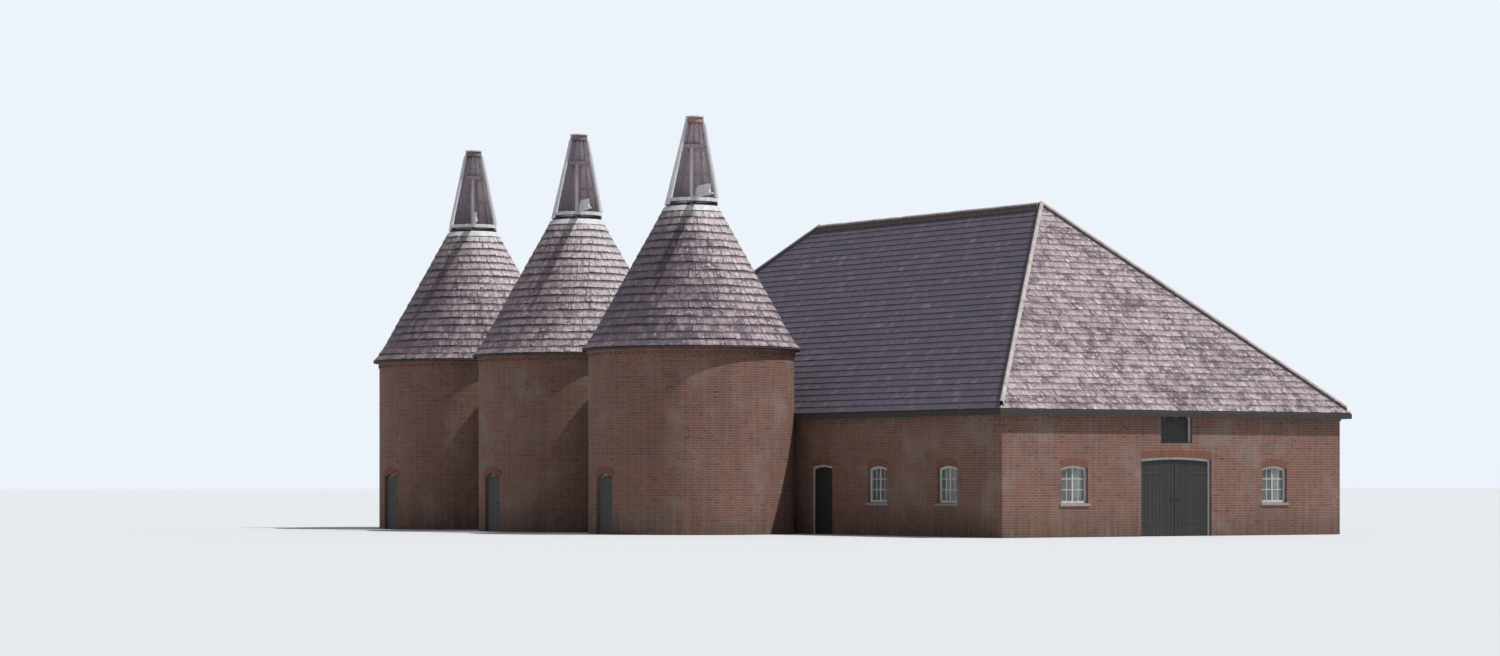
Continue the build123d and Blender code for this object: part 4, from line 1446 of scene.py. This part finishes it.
@dataclass
class Kiln:
    """One kiln: its cone's slates, dentils, leaded curb and its own pieces of the frame."""

    finishes: Finishes
    number: int
    axis: Vector
    slates: bpy.types.Object
    slate_age: float
    rng: random.Random
    wall_height: float = 5.5
    slate_turn: float = 137.0
    dentil: float = 0.225
    curb_top: float = 9.812
    apron_foot: float = 0.905
    apron_head: float = 0.836
    apron_low: float = 9.62
    apron_top: float = 9.745
    sheets: int = 9

    def build(self) -> None:
        """Places the slates, adds the dentils and the lead, and dresses the frame's pieces."""
        turn = Matrix.Rotation(math.radians(self.slate_turn * self.number), 4, "Z")
        cone = Bench.copy(self.slates, Matrix.Translation(self.axis) @ turn)
        cone.name = f"kiln_{self.number}_slates"
        Bench.fill(cone, "age", self.slate_age)
        Bench.finish(cone, self.finishes.slate, "slate", BUILDING)
        self._dentils()
        self._lead()
        brick = self.finishes.kiln_bricks[self.number - 1]
        looks = {"roof": self.finishes.underlay, "wall_front": brick, "wall_back": brick}
        looks |= {"curb": self.finishes.curb_tar_and_shade, "spindle": self.finishes.post_paint}
        for piece, material in looks.items():
            Bench.dress(f"kiln_{self.number}_{piece}", material)

    def _dentils(self) -> None:
        """A course of headers that stand out under the corbels."""
        low = self.wall_height - 0.225
        inner, outer = KILN_RADIUS - 0.05, KILN_RADIUS + 0.03
        header = Bench.block("header", (inner, -0.051, low), (outer, 0.051, low + 0.075))
        Bench.bevel(header, 0.004)
        count = round(2 * math.pi * KILN_RADIUS / self.dentil)
        centre = Matrix.Translation(self.axis)
        places = [centre @ Matrix.Rotation(2 * math.pi * n / count, 4, "Z") for n in range(count)]
        joined = Bench.join(f"kiln_{self.number}_dentils", Bench.spread(header, places, self.rng))
        Bench.finish(joined, self.finishes.arch_brick, "brick", BUILDING)

    def _lead(self) -> None:
        """The dressed lead over the curb and down on to the top slates, with a welt at each lap."""
        Bench.clear()
        bpy.ops.mesh.primitive_cone_add(
            vertices=54, radius1=self.apron_foot, radius2=self.apron_head, end_fill_type="NOTHING",
            depth=self.apron_top - self.apron_low, location=(0, 0, (self.apron_top + self.apron_low) / 2),
        )
        lead = Bench.settle(bpy.context.object)
        for radius, level in ((0.764, self.curb_top - 0.026), (0.749, self.curb_top - 0.021)):
            top = max(vertex.co.z for vertex in lead.data.vertices)
            wide = max(vertex.co.xy.length for vertex in lead.data.vertices if vertex.co.z > top - 1e-4)
            Bench.pick(lead, "VERT", lambda place: place.z > top - 1e-4)
            bpy.ops.mesh.extrude_region_move(TRANSFORM_OT_translate={"value": (0, 0, level - top)})
            bpy.ops.transform.resize(value=(radius / wide, radius / wide, 1.0), center_override=(0, 0, level))
            Bench.done()
        for vertex in lead.data.vertices:
            if vertex.co.z < self.apron_low + 0.01:
                vertex.co.z += self.rng.uniform(-0.007, 0.007)
        Bench.apply(lead, "SOLIDIFY", thickness=0.004, offset=1.0)
        Bench.add_tone(lead)
        welt = Bench.block("welt", (-0.5, -0.011, 0.0), (0.5, 0.011, 1.0))
        for vertex in welt.data.vertices:
            low = vertex.co.z < 0.5
            outer = 0.014 if vertex.co.x > 0 else -0.008
            vertex.co.x = (self.apron_foot if low else THROAT_RADIUS) + outer
            vertex.co.z = self.apron_low + 0.002 if low else self.apron_top + 0.023
        Bench.bevel(welt, 0.005, 2)
        turns = [Matrix.Rotation(2 * math.pi * (n + 0.3) / self.sheets, 4, "Z") for n in range(self.sheets)]
        joined = Bench.join(f"kiln_{self.number}_lead", [lead, *Bench.spread(welt, turns, self.rng)])
        joined.data.transform(Matrix.Translation(self.axis))
        Bench.finish(joined, self.finishes.lead, "lead", BUILDING)


@dataclass
class Cowl:
    """One cowl: tapered boards with a gap between each two, jambs, nails, and its own pieces of the frame."""

    finishes: Finishes
    number: int
    axis: Vector
    base: float
    turn: float
    rng: random.Random
    height: float = 2.524
    base_radius: float = 0.795
    top_radius: float = 0.258
    lean: float = 0.40
    board: float = 0.022
    sides: int = 24
    open_sides: int = 9
    gap: float = 0.004
    skirt: float = 0.06
    jamb_angle: float = 3.8
    jamb_depth: float = 0.052
    fillet: float = 0.06
    arm_root: float = 0.0654
    arm_reach: float = 2.6
    arm_half_width: float = 0.03
    bolts: int = 6
    first_bolt: float = 0.68
    bolt_spacing: float = 0.31
    ring_height: float = 0.13
    head_hoop: float = 0.15
    nail_levels: tuple[float, ...] = (0.06, 0.905, 1.595, 2.45)

    def build(self) -> None:
        """Builds the boarding and dresses the frame's pieces."""
        body = f"cowl_{self.number}"
        boards = self._boards()
        jambs = [self._jamb(hand) for hand in (-1.0, 1.0)]
        shell = Bench.join(f"{body}_boards", [boards, *jambs])
        vane = self._vane(f"{body}_vane_board")
        nails = self._nails(f"{body}_nails")
        for piece, material, slot in (
            (shell, self.finishes.cowl_boards, "painted_boards"),
            (vane, self.finishes.vane_paint, "painted_boards"),
            (nails, self.finishes.iron, "tarred_boards"),
        ):
            piece.data.transform(
                Matrix.Translation((self.axis.x, self.axis.y, self.base))
                @ Matrix.Rotation(math.radians(self.turn), 4, "Z")
            )
            Bench.finish(piece, material, slot, body)
        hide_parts(f"{body}_shell")
        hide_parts(f"{body}_vane")
        for piece, material in (
            ("ring", self.finishes.cowl_ring),
            ("frame", self.finishes.cowl_timber),
            ("cap", self.finishes.cowl_cap),
        ):
            Bench.dress(f"{body}_{piece}", material)

    def _centre(self, height: float) -> float:
        """How far the boarding's centre leans towards the mouth at a height."""
        return self.lean * height / self.height

    def _radius(self, height: float) -> float:
        """The boarding's outer radius, to its corners, at a height."""
        return self.base_radius + (self.top_radius - self.base_radius) * height / self.height

    def _corner(self, angle: float, height: float, inset: float) -> Vector:
        """A point of the leaning cone, in the cowl's own frame."""
        radius, turn = self._radius(height) - inset, math.radians(angle)
        return Vector((self._centre(height) + radius * math.cos(turn), radius * math.sin(turn), height))

    def _boards(self) -> bpy.types.Object:
        """The boards, open at the mouth, with bare timber marked on their inner faces."""
        Bench.clear()
        depth = self.height + self.skirt
        bpy.ops.mesh.primitive_cone_add(
            vertices=self.sides, radius1=self._radius(-self.skirt), radius2=self.top_radius, depth=depth,
            end_fill_type="NOTHING", location=(0, 0, depth / 2 - self.skirt),
        )
        boards = bpy.context.object
        boards.rotation_euler.z = math.radians(180.0 / self.sides)
        Bench.settle(boards)
        for low in (True, False):
            Bench.pick(boards, "VERT", lambda place: (place.z < depth / 2) == low)
            bpy.ops.transform.translate(value=(self._centre(-self.skirt if low else self.height), 0, 0))
            Bench.done()
        mouth = math.radians(180.0 * self.open_sides / self.sides)
        middle = self._centre(self.height / 2)
        Bench.pick(boards, "FACE", lambda place: abs(math.atan2(place.y, place.x - middle)) < mouth)
        bpy.ops.mesh.delete(type="FACE")
        Bench.pick(boards, "FACE", lambda place: True)
        bpy.ops.mesh.inset(thickness=self.gap / 2, use_individual=True)
        bpy.ops.mesh.select_all(action="INVERT")
        bpy.ops.mesh.delete(type="FACE")
        Bench.done()
        Bench.add_tone(boards)
        for face in boards.data.polygons:
            tone = self.rng.random()
            for vertex in face.vertices:
                boards.data.attributes["tone"].data[vertex].value = tone
        Bench.apply(boards, "SOLIDIFY", thickness=self.board, offset=-1.0)
        inner = boards.data.attributes.new("bare", "FLOAT", "POINT").data
        for vertex in boards.data.vertices:
            place = vertex.co - Vector((self._centre(vertex.co.z), 0, 0))
            inner[vertex.index].value = float(place.xy.length < self._radius(vertex.co.z) - self.board * 0.5)
        Bench.bevel(boards, 0.002)
        return boards

    def _jamb(self, hand: float) -> bpy.types.Object:
        """The post down one side of the mouth, with a splayed fillet that stands proud of the boards."""
        edge = 180.0 * self.open_sides / self.sides
        jamb = Bench.block("jamb", (0, 0, 0), (1, 1, 1))
        for vertex in jamb.data.vertices:
            head = vertex.co.z > 0.5
            angle = hand * (edge - 0.5 + self.jamb_angle * vertex.co.x * (2.2 if head else 1.3))
            height = self.height - self.head_hoop if head else self.ring_height
            proud = 0.002 + vertex.co.x * self.fillet * (0.7 if head else 1.0)
            inset = self.jamb_depth if vertex.co.y > 0.5 else -proud
            vertex.co = self._corner(angle, height, inset)
        Bench.pick(jamb, "FACE", lambda place: True)
        bpy.ops.mesh.normals_make_consistent(inside=False)
        Bench.done()
        Bench.bevel(jamb, 0.004)
        Bench.add_tone(jamb)
        jamb.data.attributes.new("bare", "FLOAT", "POINT")
        return jamb

    def _vane(self, name: str) -> bpy.types.Object:
        """The arm with its chamfered edges, and the board on it with a raised rim on both faces."""
        foot, drop, deep, thin = self.ring_height, 0.055, 0.085, 0.05
        half = self.arm_half_width
        arm = Bench.block("arm", (self.arm_root, -half, foot), (self.arm_reach, half, foot + deep))
        Bench.pick(arm, "EDGE", lambda place: 0.2 < place.x < self.arm_reach - 0.2)
        bpy.ops.mesh.subdivide(number_cuts=1)
        Bench.done()
        for vertex in arm.data.vertices:
            if self.arm_reach - 0.1 > vertex.co.x > 0.1:
                vertex.co.x = self.base_radius
            elif vertex.co.x > 0.1:
                vertex.co.z = foot - drop + (thin if vertex.co.z > foot + deep / 2 else 0.0)
        Bench.bevel(arm, 0.009)
        seat = foot + 0.02
        outline = (
            (0.50, foot + thin), (0.57, 0.315), (0.66, 0.355), (0.78, 0.405), (0.93, 0.453), (2.33, 0.408),
            (2.25, 0.25), (2.33, foot - drop + 0.02), (1.40, foot - 0.012), (0.795, seat), (0.62, seat),
        )
        Bench.clear()
        bpy.ops.mesh.primitive_circle_add(vertices=len(outline), radius=1.0, fill_type="NGON")
        board = Bench.settle(bpy.context.object)
        for vertex, (x, z) in zip(board.data.vertices, outline):
            vertex.co = (x, 0.0, z)
        Bench.apply(board, "SOLIDIFY", thickness=0.040, offset=0.0)
        Bench.pick(board, "FACE", lambda place: abs(place.y) > 0.018)
        bpy.ops.mesh.inset(thickness=0.045, use_individual=True)
        bpy.ops.transform.resize(value=(1.0, 0.4, 1.0), center_override=(0, 0, 0))
        bpy.ops.mesh.select_all(action="SELECT")
        bpy.ops.mesh.normals_make_consistent(inside=False)
        Bench.done()
        bolts = []
        for n in range(self.bolts):
            for hand in (-1.0, 1.0):
                x = self.first_bolt + self.bolt_spacing * n
                fall = drop * max(0.0, x - self.base_radius) / (self.arm_reach - self.base_radius)
                place = (x, hand * (self.arm_half_width - 0.001), foot - fall + 0.045)
                bolts.append(Bench.stud(0.013, place))
        vane = Bench.join(name, [arm, board, *bolts])
        Bench.add_tone(vane)
        return vane

    def _nails(self, name: str) -> bpy.types.Object:
        """Two clenched nails through each board at each hoop."""
        places = []
        step = 360.0 / self.sides
        for n in range(self.sides - self.open_sides):
            for level in self.nail_levels:
                for hand in (-0.28, 0.28):
                    angle = self.open_sides * step / 2 + (n + 0.5 + hand) * step
                    flat = math.cos(math.radians(step / 2)) / math.cos(math.radians(hand * step))
                    spot = self._corner(angle, level, self._radius(level) * (1.0 - flat))
                    places.append(Matrix.Translation(spot))
        return Bench.join(name, Bench.spread(Bench.stud(0.008), places, self.rng))


class Studio:
    """The floor, the light and the camera."""

    focal_px = 3590.0
    width_px = 1500.0
    height_px = 656.0
    horizon_px = 480.0
    yaw = 33.355
    eye = Vector((91.02, -66.50, 1.6))
    sensor = 36.0
    sun_strength = 3.2
    sun_width = 0.7
    fill = 0.22

    def build(self) -> None:
        """Sets the studio up."""
        self._floor()
        self._light()
        self._camera()

    def _floor(self) -> None:
        """A plain pale floor, a little darker to other rays than the camera sees it."""
        Bench.clear()
        bpy.ops.mesh.primitive_plane_add(size=900.0, location=(-60.0, 20.0, -0.004))
        floor = Bench.settle(bpy.context.object)
        floor.name = "floor"
        material = bpy.data.materials.new("Studio floor")
        material.use_nodes = True
        shader = material.node_tree.nodes["Principled BSDF"]
        shader.inputs["Roughness"].default_value = 0.95
        graph = Graph(material.node_tree)
        seen = graph.node("ShaderNodeLightPath").outputs["Is Camera Ray"]
        graph.feed(shader.inputs["Base Color"], graph.mix(seen, (0.60, 0.60, 0.60), (0.74, 0.75, 0.76)))
        floor.data.materials.append(material)

    def _light(self) -> None:
        """A sun from the right and behind, and an even sky."""
        key = bpy.data.lights.new("key", "SUN")
        key.energy = self.sun_strength
        key.angle = math.radians(self.sun_width)
        lamp = bpy.data.objects.new("key", key)
        lamp.rotation_euler = Vector(SUN_FROM).to_track_quat("Z", "Y").to_euler()
        bpy.context.scene.collection.objects.link(lamp)
        world = bpy.data.worlds.new("sky")
        bpy.context.scene.world = world
        world.use_nodes = True
        graph = Graph(world.node_tree)
        sky = world.node_tree.nodes["Background"]
        path = graph.node("ShaderNodeLightPath")
        seen = graph.math("MAXIMUM", path.outputs["Is Camera Ray"], path.outputs["Is Glossy Ray"])
        seen = graph.math("MAXIMUM", seen, path.outputs["Is Transmission Ray"])
        graph.feed(sky.inputs["Color"], graph.mix(seen, (0.86, 0.92, 1.0), (0.84, 0.90, 0.96)))
        graph.feed(sky.inputs["Strength"], graph.span(seen, 0.0, 1.0, self.fill, 1.0))

    def _camera(self) -> None:
        """The camera at the photograph's place, level, with the horizon low in the frame."""
        data = bpy.data.cameras.new("camera")
        data.sensor_width = self.sensor
        data.lens = self.sensor * self.focal_px / self.width_px
        data.shift_y = (self.horizon_px - self.height_px / 2) / self.width_px
        data.clip_end = 2000.0
        camera = bpy.data.objects.new("camera", data)
        camera.location = self.eye
        turn = math.radians(self.yaw)
        forward = Vector((-math.cos(turn), math.sin(turn), 0.0))
        camera.rotation_euler = forward.to_track_quat("-Z", "Y").to_euler()
        bpy.context.scene.collection.objects.link(camera)
        bpy.context.scene.camera = camera


def main() -> None:
    """Builds the oast house in order."""
    logging.basicConfig(level=logging.INFO, format="%(message)s")
    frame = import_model()
    bpy.context.scene.view_settings.view_transform = "Standard"
    seats = [joint["pos_m"] for joint in frame["joints"]]
    axes = [Vector((seat[0], seat[1], 0.0)) for seat in seats]
    finishes = Finishes(axes)
    Stowage(finishes, axes).build()
    bell = THROAT_HEIGHT - (BELL_RADIUS - THROAT_RADIUS) * math.tan(math.radians(CONE_PITCH))
    eaves = bell - (EAVES_RADIUS - BELL_RADIUS) * math.tan(math.radians(BELL_PITCH))
    profile = ((EAVES_RADIUS, eaves), (BELL_RADIUS, bell), (THROAT_RADIUS, THROAT_HEIGHT))
    slates = ConeSlating(SlatePattern(), random.Random(5), profile).build("cone_slates_pattern")
    for number, (axis, age) in enumerate(zip(axes, SLATE_AGES), start=1):
        Kiln(finishes, number, axis, slates, age, random.Random(39 + number)).build()
    Bench.discard(slates)
    for number, (axis, seat, turn) in enumerate(zip(axes, seats, COWL_TURNS), start=1):
        Cowl(finishes, number, axis, seat[2], turn, random.Random(19 + number)).build()
    Studio().build()


if __name__ == "__main__":
    main()
